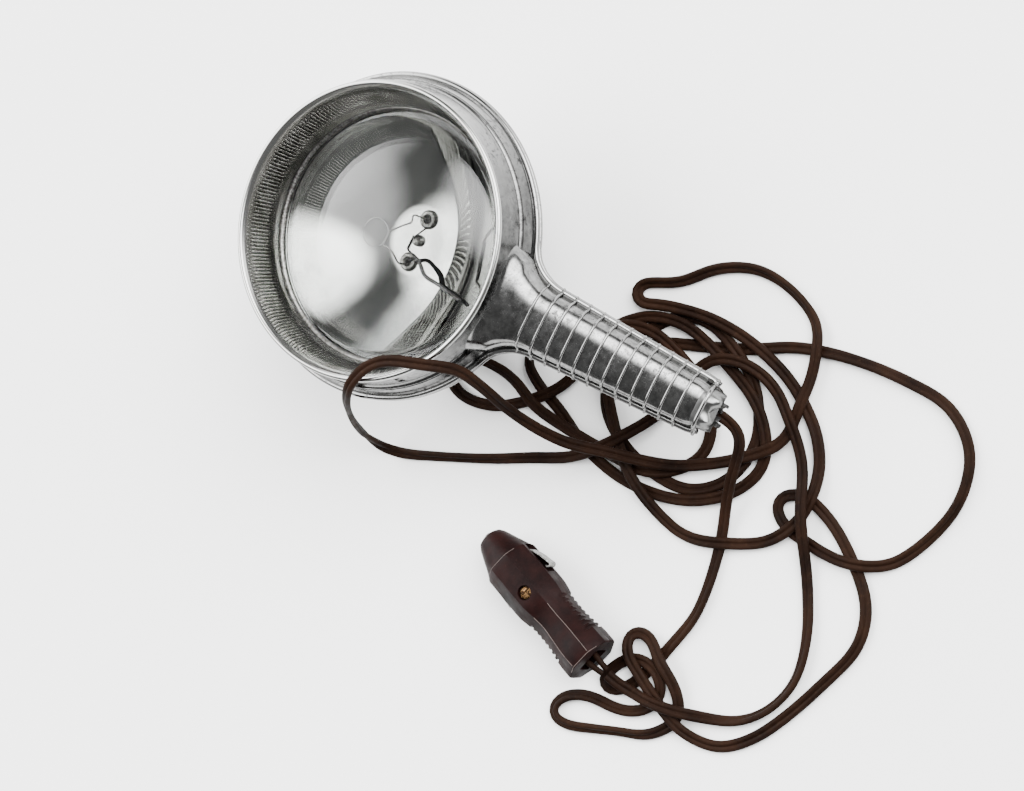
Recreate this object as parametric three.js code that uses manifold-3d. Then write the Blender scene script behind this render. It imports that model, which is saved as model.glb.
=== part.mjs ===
// A 12 volt hand-held spotlight: two chromed metal shells, a fluted bezel, a sealed lamp,
// a slide switch, a flat twin lead and a plug for a car's lighter socket.
// Millimetres, +Z up. The lamp lies on its back and shines upwards; the handle points along -Y.

import * as THREE from "three";
import { mergeVertices } from "three/addons/utils/BufferGeometryUtils.js";
import Module from "manifold-3d";

const wasm = await Module();
wasm.setup();

// ---- driving dimensions ----
const GAP = 0.3; // between pieces that touch
const WALL = 1.3; // sheet metal, with its plating
const HEAD_Y = 40.5; // lamp axis, from the middle of the whole light
const SEAM_Z = 52; // where the two shells meet, above the resting surface
const FLANGE_R = 61;
const BACK_R = 57.5;
const BASE_R = 22; // flat disc that the head rests on
const BOWL_TOP_Z = 46;
const BOWL_BULGE = 4;
const DRUM_FOOT_R = 58.8;
const DRUM_STEP_R = 56.6;
const DRUM_TOP_R = 55;
const DRUM_STEP_H = 8;
const DRUM_H = 19.2;
const CREST_H = 21; // bezel's front edge above the seam
const THROAT_R = 47.5;
const THROAT_H = 4.6;
const LAMP_R = 55.3;
const DOME_R = 45.5;
const DOME_H = 14;
const MIRROR_DEPTH = 19;
const FERRULE_X = 8.8;
const RAKE = THREE.MathUtils.degToRad(16); // handle slopes back from the head's plane
const BEND_Y = -58;
const NECK_Y = -68;
const HANDLE_END_Y = -134;
const NECK_HALF = 13.8; // half the handle's width over its side rails
const TIP_HALF = 11;
const TIP_ROUND = 4; // length over which the very end closes in
const TIP_TAPER = 0.8;
const FILLET = 17;
const CREST_NECK = 12.5; // handle's front face above the seam
const CREST_TIP = 10.5;
const BELLY_NECK = 11.5; // handle's back face below the seam
const BELLY_TIP = 9;
const RAIL_T = 1.2; // each shell's flange along the seam
const RAIL_W = 2.2;
const RIBS = 12;
const RIB_FIRST_Y = -65.5;
const RIB_STEP = 5.5;
const RIB_T = 0.9;
const RIB_PROUD = 0.8;
const SWITCH_Y = -88;
const SWITCH_TRAVEL = 5;
const CORD_R = 1.7;
const CORE_R = 1.15;
const PLUG_TAIL = [-106.3, -89.2];
const PLUG_TURN = THREE.MathUtils.degToRad(-17.3);
const PLUG_L = 63;
const PLUG_Z = 10.2;
const PLUG_SCREW_Y = 34;
const PIN_R = 2.1;
const PIN_PROUD = 1.1;
const LEAF_Y = 48.5;
const LEAF_PIVOT = [7.3, 48.3];
const LEFT_LEAF_PRESSED = THREE.MathUtils.degToRad(8); // the left leaf has been bent in by use

// ---- colours and finishes ----
const finish = (color, roughness, metalness) =>
  new THREE.MeshStandardMaterial({ color, roughness, metalness });
const CHROME = finish(0xc6c8c8, 0.2, 1);
const STEEL = finish(0x8f9192, 0.45, 1);
const BRASS = finish(0xa98548, 0.4, 1);
const GLASS = new THREE.MeshStandardMaterial({
  color: 0xe8eeee,
  roughness: 0.05,
  transparent: true,
  opacity: 0.35,
});
const MIRROR = finish(0xe4e6e6, 0.04, 1);
const RUBBER = finish(0x3a2620, 0.75, 0);
const BAKELITE = finish(0x2c1715, 0.35, 0);
const BLACK = finish(0x171615, 0.6, 0);

// ---- helpers: three.js shapes to solids and back ----
function solidOf(geometry) {
  const bare = geometry.clone();
  for (const name of ["normal", "uv", "uv1"]) bare.deleteAttribute(name);
  const merged = mergeVertices(bare, 1e-4);
  const position = merged.getAttribute("position");
  return new wasm.Manifold(
    new wasm.Mesh({
      numProp: 3,
      vertProperties: new Float32Array(position.array),
      triVerts: new Uint32Array(merged.getIndex().array),
    }),
  );
}

function geometryOf(solid) {
  const mesh = solid.getMesh();
  const geometry = new THREE.BufferGeometry();
  geometry.setAttribute("position", new THREE.BufferAttribute(mesh.vertProperties, 3));
  geometry.setIndex(new THREE.BufferAttribute(mesh.triVerts, 1));
  geometry.computeVertexNormals();
  return geometry;
}

// A closed profile of [radius, height] turned about Z. The profile runs anticlockwise.
function turned(profile, segments = 36) {
  const points = profile.map(([r, z]) => new THREE.Vector2(r, z));
  points.push(points[0].clone());
  const geometry = new THREE.LatheGeometry(points, segments);
  geometry.rotateX(Math.PI / 2);
  const solid = solidOf(geometry);
  if (solid.volume() > 0) return solid;
  return solidOf(new THREE.LatheGeometry(points.reverse(), segments).rotateX(Math.PI / 2));
}

// A rod between two points, of one radius, or tapering to the second.
function rod(from, to, r0, r1 = r0, sides = 20) {
  const a = new THREE.Vector3(...from);
  const b = new THREE.Vector3(...to);
  const geometry = new THREE.CylinderGeometry(r1, r0, a.distanceTo(b), sides);
  const turn = new THREE.Quaternion().setFromUnitVectors(
    new THREE.Vector3(0, 1, 0),
    b.clone().sub(a).normalize(),
  );
  geometry.applyQuaternion(turn);
  geometry.translate(...a.add(b).multiplyScalar(0.5).toArray());
  return solidOf(geometry);
}

function block(low, high) {
  const size = high.map((h, i) => h - low[i]);
  const geometry = new THREE.BoxGeometry(...size);
  geometry.translate(...low.map((l, i) => l + size[i] / 2));
  return solidOf(geometry);
}

// A flat outline of [a, b] points, given thickness along its third axis.
function plate(points, depth) {
  const shape = new THREE.Shape(points.map(([a, b]) => new THREE.Vector2(a, b)));
  return new THREE.ExtrudeGeometry(shape, { depth, bevelEnabled: false });
}

// A round wire along a smooth curve through points.
function wire(points, radius, steps, sides = 8) {
  const curve = new THREE.CatmullRomCurve3(points.map((p) => new THREE.Vector3(...p)));
  const ring = [];
  for (let i = 0; i < sides; i++) {
    const a = (i / sides) * 2 * Math.PI;
    ring.push(new THREE.Vector2(radius * Math.cos(a), radius * Math.sin(a)));
  }
  const options = { steps, extrudePath: curve, bevelEnabled: false };
  return new THREE.ExtrudeGeometry(new THREE.Shape(ring), options);
}

// A closed skin through rings of points, each ring with the same number of points.
function loft(rings) {
  const count = rings[0].length;
  const position = rings.flat(2);
  const index = [];
  for (let i = 0; i + 1 < rings.length; i++) {
    for (let j = 0; j < count; j++) {
      const a = i * count + j;
      const b = i * count + ((j + 1) % count);
      index.push(a, b, b + count, a, b + count, a + count);
    }
  }
  const last = (rings.length - 1) * count;
  for (let j = 1; j + 1 < count; j++) {
    index.push(0, j + 1, j);
    index.push(last, last + j, last + j + 1);
  }
  const geometry = new THREE.BufferGeometry();
  geometry.setAttribute("position", new THREE.Float32BufferAttribute(position, 3));
  geometry.setIndex(index);
  const solid = solidOf(geometry);
  if (solid.volume() > 0) return solid;
  for (let i = 0; i < index.length; i += 3) [index[i + 1], index[i + 2]] = [index[i + 2], index[i + 1]];
  geometry.setIndex(index);
  return solidOf(geometry);
}

const part = new THREE.Group();
const head = new THREE.Group();
head.position.y = HEAD_Y;
part.add(head);

function add(group, name, shape, material) {
  const geometry = shape.isBufferGeometry ? shape : geometryOf(shape);
  const mesh = new THREE.Mesh(geometry, material);
  mesh.name = name;
  group.add(mesh);
}

// ---- the handle's form, as functions of y ----
const mix = (a, b, t) => a + (b - a) * t;
const along = (y) => (NECK_Y - y) / (NECK_Y - HANDLE_END_Y);
const seam = (y) => SEAM_Z - Math.max(0, BEND_Y - y) * Math.tan(RAKE);

function flare(y) {
  const reach = Math.min(Math.max((y - NECK_Y) / FILLET, 0), 1);
  return FILLET * (1 - Math.sqrt(1 - reach * reach));
}

function tipTaper(y) {
  const reach = Math.max(0, (HANDLE_END_Y + TIP_ROUND - y) / TIP_ROUND);
  return TIP_TAPER * reach * reach;
}

const halfWidth = (y) => mix(NECK_HALF, TIP_HALF, along(y)) + flare(y) - tipTaper(y);
const crest = (y) => mix(CREST_NECK, CREST_TIP, along(y)) - tipTaper(y) * 0.6;
const belly = (y) => mix(BELLY_NECK, BELLY_TIP, along(y)) - tipTaper(y) * 0.6;

// One cross-section of the handle: a flat-sided arch above the seam, a rounder trough below.
function section(y, inset, above, below, sides = 16) {
  const half = halfWidth(y) - RAIL_W - inset;
  const ring = [];
  for (let i = 0; i < sides; i++) {
    const a = (i / sides) * 2 * Math.PI;
    const c = Math.cos(a);
    const s = Math.sin(a);
    const bend = 0.8;
    const rise = s >= 0 ? above - inset : below - inset;
    const x = half * Math.sign(c) * Math.abs(c) ** bend;
    const z = rise * Math.sign(s) * Math.abs(s) ** bend;
    ring.push([x, y, seam(y) + z]);
  }
  return ring;
}

// Where the handle's outline changes: the fillets at the neck, the bend, the rounded tip.
const BENDS = [-51, -52.5, -55, BEND_Y, -61.5, -65, NECK_Y, -130, -132];
const stations = (from, to) => [from, ...BENDS.filter((y) => y < from && y > to), to];

// The handle as a solid, inset by a wall (or proud of it, with a negative inset).
function handleSolid(inset, from, to) {
  const rings = stations(from, to).map((y) => section(y, inset, crest(y), belly(y)));
  return loft(rings);
}

// The flange that runs down both sides of the handle.
function railSolid(from, to) {
  const rings = stations(from, to).map((y) => {
    const half = halfWidth(y);
    const z = seam(y);
    return [
      [half, y, z - RAIL_T],
      [half, y, z + RAIL_T],
      [-half, y, z + RAIL_T],
      [-half, y, z - RAIL_T],
    ];
  });
  return loft(rings);
}

// Everything on one side of the seam, which bends down along the handle.
function sideOfSeam(sign) {
  const far = sign * 200;
  const lift = (sign * GAP) / 2;
  const outline = [
    [-160, seam(-160) + lift],
    [BEND_Y, SEAM_Z + lift],
    [80, SEAM_Z + lift],
    [80, SEAM_Z + far],
    [-160, SEAM_Z + far],
  ];
  if (sign < 0) outline.reverse();
  const geometry = plate(outline, 200);
  geometry.applyMatrix4(
    new THREE.Matrix4().makeBasis(
      new THREE.Vector3(0, 1, 0),
      new THREE.Vector3(0, 0, 1),
      new THREE.Vector3(1, 0, 0),
    ),
  );
  geometry.translate(-100, 0, 0);
  return solidOf(geometry);
}

// ---- the two shells ----
// The back of the head bulges a little between its widest part and its flat disc.
function bowlArc(inset, steps) {
  const top = new THREE.Vector2(BACK_R - inset, BOWL_TOP_Z);
  const foot = new THREE.Vector2(BASE_R - inset / 2, inset);
  const chord = top.clone().sub(foot);
  const outward = new THREE.Vector2(chord.y, -chord.x).normalize();
  const points = [];
  for (let i = 0; i <= steps; i++) {
    const t = i / steps;
    const bulge = 4 * BOWL_BULGE * t * (1 - t);
    const point = top.clone().lerp(foot, t).addScaledVector(outward, bulge);
    points.push([point.x, point.y]);
  }
  return points;
}

const headOuter = turned([
  [0, 0],
  ...bowlArc(0, 7).reverse(),
  [BACK_R, SEAM_Z - 1.2],
  [FLANGE_R, SEAM_Z - 1.2],
  [FLANGE_R, SEAM_Z + 1.2],
  [DRUM_FOOT_R, SEAM_Z + 1.2],
  [DRUM_STEP_R, SEAM_Z + DRUM_STEP_H],
  [DRUM_TOP_R, SEAM_Z + DRUM_H],
  [0, SEAM_Z + DRUM_H],
]);
const headInner = turned([
  [0, WALL],
  ...bowlArc(WALL, 7).reverse(),
  [BACK_R - WALL, SEAM_Z],
  [DRUM_FOOT_R - WALL, SEAM_Z],
  [DRUM_STEP_R - WALL, SEAM_Z + DRUM_STEP_H],
  [DRUM_TOP_R - WALL, SEAM_Z + DRUM_H],
  [DRUM_TOP_R - WALL, SEAM_Z + DRUM_H + 10],
  [0, SEAM_Z + DRUM_H + 10],
]);

const handleOuter = handleSolid(0, -44, HANDLE_END_Y);
const handleInner = handleSolid(WALL, -40, HANDLE_END_Y - 4);
const rail = railSolid(-50, HANDLE_END_Y + 1.5);

// Ribs: thin slices of a slightly larger handle, square to its slope.
function ribs() {
  const proud = handleSolid(-RIB_PROUD, RIB_FIRST_Y + 6, HANDLE_END_Y);
  let all = null;
  for (let i = 0; i < RIBS; i++) {
    const y = RIB_FIRST_Y - i * RIB_STEP;
    const slice = new THREE.BoxGeometry(60, RIB_T, 40);
    slice.translate(0, 0, 20);
    slice.rotateX(RAKE);
    slice.translate(0, y, seam(y));
    const one = proud.intersect(solidOf(slice));
    all = all ? all.add(one) : one;
  }
  return all;
}

const frontSide = sideOfSeam(1);
const backSide = sideOfSeam(-1);
const hollow = headInner.add(handleInner);

// A point `drop` below the seam at y, measured square to the handle's slope.
const inHandle = (x, y, drop) => [
  x,
  y + drop * Math.sin(RAKE),
  seam(y) - drop * Math.cos(RAKE),
];

// Two screws hold the handle's halves together, each in a post of the front shell.
const SCREW_YS = [-71, -106];
let posts = null;
for (const y of SCREW_YS) {
  const post = rod(inHandle(0, y, 2 - crest(y)), inHandle(0, y, -1), 2.6, 2.6, 16);
  const pilot = rod(inHandle(0, y, -8), inHandle(0, y, 1), 1.5, 1.5, 14);
  const hollowPost = post.subtract(pilot);
  posts = posts ? posts.add(hollowPost) : hollowPost;
}

// The bezel's screw sits in an upright slot low on the drum's side.
const SLOT_TURN = THREE.MathUtils.degToRad(220);
const SLOT_H = 14;
function atSlot(geometry) {
  geometry.rotateZ(SLOT_TURN);
  geometry.translate(0, 0, SEAM_Z + SLOT_H);
  return geometry;
}
const slot = solidOf(atSlot(new THREE.BoxGeometry(8, 2.4, 5.4).translate(DRUM_STEP_R, 0, 0)));

const cordMouth = rod([0, -125, seam(-125)], [0, -150, seam(-150)], 4.2);
const outer = headOuter.add(handleOuter).add(rail);
const frontShell = outer
  .add(ribs())
  .subtract(hollow)
  .add(posts)
  .intersect(frontSide)
  .subtract(slot)
  .subtract(cordMouth);
add(head, "front_shell", frontShell, CHROME);

// The switch's window in the back of the handle.
function handleBox(sizeX, sizeY, sizeZ, y, drop) {
  const geometry = new THREE.BoxGeometry(sizeX, sizeY, sizeZ);
  geometry.rotateX(RAKE);
  geometry.translate(...inHandle(0, y, drop));
  return geometry;
}
const windowCut = solidOf(handleBox(4.2, SWITCH_TRAVEL + 6, 8, SWITCH_Y, BELLY_NECK - 1));
let backShell = outer.subtract(hollow).intersect(backSide).subtract(windowCut).subtract(cordMouth);
for (const y of SCREW_YS) {
  backShell = backShell.subtract(rod(inHandle(0, y, 4), inHandle(0, y, 20), 1.7, 1.7, 16));
}
add(head, "back_shell", backShell, CHROME);

for (const [i, y] of SCREW_YS.entries()) {
  const seat = belly(y) * Math.cos(RAKE) + GAP + 0.15;
  const shank = rod(inHandle(0, y, -6), inHandle(0, y, seat + 0.2), 1.2, 1.2, 12);
  const cap = rod(inHandle(0, y, seat), inHandle(0, y, seat + 1.3), 3, 2.3, 16);
  add(head, `shell_screw_${i + 1}`, shank.add(cap), STEEL);
}

// ---- bezel, gasket and lamp ----
const up = (points) => points.map(([r, h]) => [r, SEAM_Z + h]);
add(
  head,
  "bezel_ring",
  turned(
    up([
      [THROAT_R, THROAT_H - 1.4],
      [THROAT_R + 1.4, THROAT_H - 1.4],
      [THROAT_R + 1.5, THROAT_H],
      [DRUM_TOP_R - WALL - GAP - 0.2, DRUM_H - 1.6],
      [DRUM_TOP_R - WALL - GAP, DRUM_H + GAP],
      [DRUM_TOP_R + 0.8, DRUM_H + GAP],
      [DRUM_TOP_R + 0.8, DRUM_H + 1.1],
      [DRUM_TOP_R, CREST_H],
      [DRUM_TOP_R - 1.6, CREST_H],
      [DRUM_TOP_R - 2.4, CREST_H - 1],
      [THROAT_R, THROAT_H],
    ]),
  ),
  CHROME,
);
const screwAxis = new THREE.CylinderGeometry(0.8, 0.8, 2.4, 10);
screwAxis.rotateZ(Math.PI / 2).translate(DRUM_TOP_R - 1.4, 0, 0);
const screwCap = new THREE.CylinderGeometry(0.95, 0.95, 0.9, 14);
screwCap.rotateZ(Math.PI / 2).translate(DRUM_TOP_R, 0, 0);
add(head, "bezel_screw", solidOf(atSlot(screwAxis)).add(solidOf(atSlot(screwCap))), STEEL);

add(
  head,
  "lamp_gasket",
  turned(
    up([
      [THROAT_R + 0.2, 2.3 + GAP],
      [LAMP_R - 1, 2.3 + GAP],
      [LAMP_R - 1, THROAT_H - 0.9],
      [THROAT_R + 2.4, THROAT_H - 0.9],
      [THROAT_R + 2.4, THROAT_H - 1.4 - GAP],
      [THROAT_R + 0.2, THROAT_H - 1.4 - GAP],
    ]),
  ),
  BLACK,
);

function domeArc(r, low, high, steps) {
  const rise = high - low;
  const sphere = (r * r + rise * rise) / (2 * rise);
  const points = [];
  for (let i = 0; i <= steps; i++) {
    const x = (r * i) / steps;
    points.push([x, low + Math.sqrt(sphere * sphere - x * x) - (sphere - rise)]);
  }
  return points;
}
add(
  head,
  "lamp_lens",
  turned(
    up([
      ...domeArc(DOME_R - 1, 0, DOME_H - 1.8, 5),
      [LAMP_R, 0],
      [LAMP_R, 2.3],
      ...domeArc(DOME_R, 2.3, DOME_H, 5).reverse(),
    ]),
  ),
  GLASS,
);

function mirrorArc(offset, steps) {
  const points = [];
  for (let i = 0; i <= steps; i++) {
    const r = mix(12, 50, i / steps);
    const rise = (MIRROR_DEPTH - 1.5) * ((r * r - 144) / (2500 - 144));
    points.push([r + offset * 0.5, rise - MIRROR_DEPTH - offset]);
  }
  return points;
}
const mirrorBowl = turned(
  up([
    [0, -MIRROR_DEPTH - 2],
    ...mirrorArc(2, 5),
    [LAMP_R, -2.6],
    [LAMP_R, -GAP],
    [50.6, -GAP],
    ...mirrorArc(0, 5).reverse(),
    [0, -MIRROR_DEPTH],
  ]),
);
const mirrorZ = SEAM_Z - MIRROR_DEPTH;
let reflector = mirrorBowl;
for (const side of [-1, 1]) {
  const x = side * FERRULE_X;
  reflector = reflector.subtract(rod([x, 0, mirrorZ - 5], [x, 0, mirrorZ + 5], 2.6));
}
add(head, "lamp_reflector", reflector, MIRROR);

for (const [i, side] of [-1, 1].entries()) {
  const x = side * FERRULE_X;
  const cup = rod([x, 0, mirrorZ - 3.4], [x, 0, mirrorZ + 1], 2.3, 2.3, 16)
    .add(rod([x, 0, mirrorZ + GAP], [x, 0, mirrorZ + 1.1], 3.6, 3.2, 20))
    .subtract(rod([x, 0, mirrorZ - 1], [x, 0, mirrorZ + 2], 1.5, 1.5, 14));
  add(head, `lamp_ferrule_${i + 1}`, cup, STEEL);
  const post = rod([x, 0, mirrorZ - 9], [x, 0, mirrorZ - 3.4 - GAP], 2, 2, 14).add(
    block([x - 3.2, -2.6, mirrorZ - 8], [x + 3.2, 2.6, mirrorZ - 7]),
  );
  add(head, `lamp_terminal_${i + 1}`, post, BRASS);
  const screwHead = rod([x, 0, mirrorZ - 11.5], [x, 0, mirrorZ - 9 - GAP], 2.7, 2.7, 14);
  add(head, `terminal_screw_${i + 1}`, screwHead, BRASS);
}

// Lead wires stand up from the ferrules and carry the filament between their ends.
const leadPoints = (side) => [
  [side * FERRULE_X, 0, mirrorZ - 0.6],
  [side * FERRULE_X, 0, mirrorZ + 4],
  [side * 9.4, 3, mirrorZ + 7],
  [side * 6.2, 3.4, mirrorZ + 10],
  [side * 4.6, 6, mirrorZ + 13],
];
add(head, "lead_wire_1", wire(leadPoints(-1), 0.5, 14), STEEL);
add(head, "lead_wire_2", wire(leadPoints(1), 0.5, 14), STEEL);
add(
  head,
  "filament",
  rod([-4.3 + GAP, 6.2, mirrorZ + 13], [4.3 - GAP, 6.2, mirrorZ + 13], 0.55, 0.55, 8),
  STEEL,
);
// The shield's stay: a thick bent wire from the mirror's rim towards the middle.
add(
  head,
  "shield_stay",
  wire(
    [
      [-6.5, -7, mirrorZ + 3],
      [-9, -9.5, mirrorZ + 7],
      [-9.8, -16, mirrorZ + 9],
      [-10.5, -24, mirrorZ + 12],
      [-11, -31, mirrorZ + 16],
    ],
    0.75,
    14,
  ),
  STEEL,
);

// A clamping ring behind the lamp, and three clips that hold it.
const RING_LOW = 4.4; // below the seam
const CLIP_DEPTH = 8;
add(
  head,
  "lamp_ring",
  turned(
    up([
      [LAMP_R - 1.6, -RING_LOW],
      [LAMP_R + 0.4, -RING_LOW],
      [LAMP_R + 0.4, -2.6 - GAP],
      [LAMP_R - 1.2, -2.6 - GAP],
    ]),
  ),
  STEEL,
);
for (let i = 0; i < 3; i++) {
  const turn = Math.PI / 2 + (i * 2 * Math.PI) / 3;
  const outline = [
    [LAMP_R - 2.8, -CLIP_DEPTH],
    [LAMP_R - 1.6, -CLIP_DEPTH],
    [LAMP_R - 1.2, -RING_LOW - GAP],
    [LAMP_R - 4.4, -RING_LOW - GAP],
    [LAMP_R - 4.4, -RING_LOW - 1.2],
    [LAMP_R - 2.8, -RING_LOW - 1.2],
  ];
  const clip = plate(outline, 6);
  clip.translate(0, SEAM_Z, -3);
  clip.rotateX(Math.PI / 2);
  clip.rotateZ(turn);
  add(head, `lamp_clip_${i + 1}`, solidOf(clip), STEEL);
}

// ---- switch, wiring and cord clamp inside the handle ----
const BODY_DROP = 2.2; // middle of the switch's body, below the seam
const BODY_DEPTH = 5;
add(head, "switch_body", solidOf(handleBox(11, 20, BODY_DEPTH, SWITCH_Y, BODY_DROP)), BLACK);
const stemTop = BODY_DROP + BODY_DEPTH / 2 + GAP;
const stemFoot = BELLY_NECK + 1;
const stemY = SWITCH_Y + SWITCH_TRAVEL / 2;
const THUMB_DROP = BELLY_NECK + 2.2;
const THUMB_THICK = 2.4;
let slider = solidOf(handleBox(3, 4, stemFoot - stemTop, stemY, (stemTop + stemFoot) / 2));
slider = slider.add(solidOf(handleBox(7.5, 9, THUMB_THICK, stemY, THUMB_DROP)));
for (const d of [-2.4, 0, 2.4]) {
  const groove = handleBox(9, 0.9, 0.9, stemY + d, THUMB_DROP + THUMB_THICK / 2);
  slider = slider.subtract(solidOf(groove));
}
add(head, "switch_slider", slider, BLACK);
for (const [i, side] of [-1, 1].entries()) {
  const tag = handleBox(1, 5, 4, SWITCH_Y, -2.4);
  tag.translate(side * 3.4, 0, 0);
  add(head, `switch_tag_${i + 1}`, solidOf(tag), BRASS);
}

add(
  head,
  "lamp_wire",
  wire(
    [
      [FERRULE_X + 4.4, 0, mirrorZ - 8.5],
      [18, -16, 24],
      [10, -40, 36],
      [5.4, -66, seam(-66) + 2],
      [5.2, -74, seam(-74) + 3],
      [3.6, -83, seam(-83) + 4],
    ],
    1,
    16,
  ),
  BLACK,
);
add(
  head,
  "return_wire",
  wire(
    [
      [-FERRULE_X - 4.4, 0, mirrorZ - 8.5],
      [-18, -16, 24],
      [-10, -40, 36],
      [-7, -66, seam(-66) + 1],
      [-7.2, -80, seam(-80) + 1],
      [-7.1, -95, seam(-95) + 1],
      [-4, -108, seam(-108) + 1],
      [-1.6, -114, seam(-114)],
    ],
    1,
    22,
  ),
  RUBBER,
);
add(
  head,
  "feed_wire",
  wire(
    [
      [3.6, -96, seam(-96) + 4],
      [4.4, -104, seam(-104) + 3],
      [3, -110, seam(-110) + 1],
      [1.6, -114, seam(-114)],
    ],
    1,
    10,
  ),
  RUBBER,
);

// A bent strap grips the lead; its two ends are rolled over outside the handle's mouth.
const CLAMP_Y = -135.85;
const strapOutline = [
  [-6.6, 3.4],
  [-6.6, -4],
  [6.6, -4],
  [6.6, 3.4],
  [3, 3.4],
  [3, -2.6],
  [-3, -2.6],
  [-3, 3.4],
];
const strap = plate(strapOutline, 10);
strap.rotateX(Math.PI / 2 + RAKE);
strap.translate(0, CLAMP_Y + 4.4, seam(CLAMP_Y + 4.4));
const mouth = handleSolid(WALL + GAP, -100, HANDLE_END_Y - 8);
const beyond = block([-20, -160, 0], [20, HANDLE_END_Y - GAP, 100]);
const strapSolid = solidOf(strap);
add(head, "cord_clamp", strapSolid.intersect(mouth.add(beyond)), STEEL);

// ---- the lead: its way over the surface, in plan, with a height only where it hangs ----
const CORD_ROUTE = [
  [0, -76, 38],
  [0, -88, 33],
  [0, -98, 30.2],
  [-1, -103.5, 27.5],
  [-5, -106, 21],
  [-12, -106, 15],
  [-20, -105.5, 10.5],
  [-29, -106, 6],
  [-46, -110],
  [-60, -113],
  [-74, -114],
  [-87, -111],
  [-98, -108],
  [-108, -104],
  [-114.5, -98],
  [-113.5, -92.5],
  [-107, -94],
  [-100, -99],
  [-98, -109],
  [-105, -116],
  [-114, -113],
  [-119, -104],
  [-121, -90],
  [-127, -81],
  [-134, -80],
  [-135, -87],
  [-131, -97],
  [-126, -108],
  [-121, -119],
  [-110, -126],
  [-101, -121],
  [-94, -110],
  [-89, -102],
  [-91, -95],
  [-97, -96],
  [-102, -104],
  [-108, -116],
  [-113, -131],
  [-111, -145],
  [-102, -155],
  [-90, -162],
  [-70, -170],
  [-52, -175],
  [-38, -171],
  [-26, -158],
  [-17, -142],
  [-15, -129],
  [-21, -122],
  [-27, -127],
  [-29, -140],
  [-28, -156],
  [-21, -171],
  [-6, -180],
  [12, -184],
  [29, -179],
  [39, -165],
  [40, -146],
  [37, -122],
  [31, -102],
  [21, -84],
  [14, -68],
  [7, -52],
  [-3, -43],
  [-15, -40],
  [-25, -45],
  [-32, -56],
  [-36, -72],
  [-35, -88],
  [-27, -99],
  [-16, -104],
  [-5, -104],
  [5, -99],
  [13, -92],
  [20, -80],
  [23, -67],
  [20, -55],
  [11, -47],
  [-1, -38],
  [-9, -20],
  [-16, -8],
  [-23, -6],
  [-29, -14],
  [-34, -28],
  [-41, -44],
  [-44, -62],
  [-42, -80],
  [-36, -95],
  [-26, -106],
  [-14, -111],
  [-2, -107],
  [7, -97],
  [12, -84],
  [16, -72],
  [18, -58],
  [14, -44],
  [4, -33],
  [-12, -29],
  [-28, -23],
  [-38, -13],
  [-46, -1],
  [-48, 14],
  [-41, 23],
  [-34, 16],
  [-32, 3],
  [-33, -8],
  [-37, -21],
  [-38, -36],
  [-38, -54],
  [-37, -70],
  [-30, -82],
  [-20, -88],
  [-10, -86],
  [0, -77],
  [7, -63],
  [10, -48],
  [5, -35],
  [-5, -33],
  [-17, -42],
  [-29, -53],
  [-39, -65],
  [-47, -80],
  [-50, -96],
  [-44, -113],
  [-35, -127],
  [-22, -134],
  [-8, -133],
  [5, -126],
  [14, -115],
  [21, -101],
  [25, -84],
  [25, -67],
  [21, -49],
  [17, -37],
  [22, -34],
  [31, -49],
  [42, -60],
  [49, -75],
  [48, -92],
  [41, -106],
  [28, -112],
  [13, -114],
  [-2, -114],
  [-14, -103],
  [-24.5, -89, 2.5],
  [-29.5, -80, 5],
  [-33.5, -68, 9.5],
  [-36.5, -56, 15.5],
  [-39.4, -46, 19],
  [-39.2, -37, 27],
  [-36, -28.5, 41],
  [-31, -22, 56],
  [-28, -15.5, 67],
  [-29.3, -11, 73.5],
  [-32.4, -3, 76.8],
  [-35.2, 4.6, 77],
  [-39.8, 11.5, 77],
  [-45.1, 15, 77],
  [-51, 16.6, 77],
  [-57.5, 19.3, 70],
  [-65.7, 25.5, 52],
  [-73.3, 30.7, 32],
  [-78.7, 33.1, 14],
  [-81.2, 30.4, 4],
  [-79.5, 23],
  [-75, 12.8],
  [-64, -10],
  [-55, -26],
  [-46, -42],
  [-34, -54],
  [-22, -62],
  [-8, -68],
  [4, -71],
  [13, -77],
  [17, -89],
  [14, -103],
  [5, -116],
  [-7, -127],
  [-22, -135],
  [-40, -146],
  [-58, -156],
  [-75, -160],
  [-89, -156],
  [-99, -147],
  [-105, -133],
  [-109, -118],
  [-110, -106],
  [-109.6, -101, 5.6],
  [-108.2, -95.2, 7.9],
];
const LAY_STEP = 4; // between the places where the lead is weighed against itself
const LAY_APART = 22; // along the lead, before a place counts as another stretch
const LAY_PITCH = 3.7; // one stretch resting on another
const LAY_REACH = 4.6; // how near in plan two stretches meet
const LAY_SLOPE = 0.34;
const LAY_ROUNDS = 40;

// Pairs of places [lower, upper, rise] where a later stretch lies over an earlier one.
function crossings(laid, floor) {
  const pairs = [];
  const onFloor = laid.map((p) => p.z < floor + 2);
  const apart = Math.round(LAY_APART / LAY_STEP);
  for (let i = 0; i < laid.length; i++) {
    for (let j = i + apart; j < laid.length; j++) {
      if (!onFloor[i] || !onFloor[j]) continue;
      const gap = Math.hypot(laid[i].x - laid[j].x, laid[i].y - laid[j].y);
      if (gap > LAY_REACH) continue;
      pairs.push([i, j, LAY_PITCH * Math.sqrt(1 - (gap / LAY_REACH) ** 4)]);
    }
  }
  return pairs;
}

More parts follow.
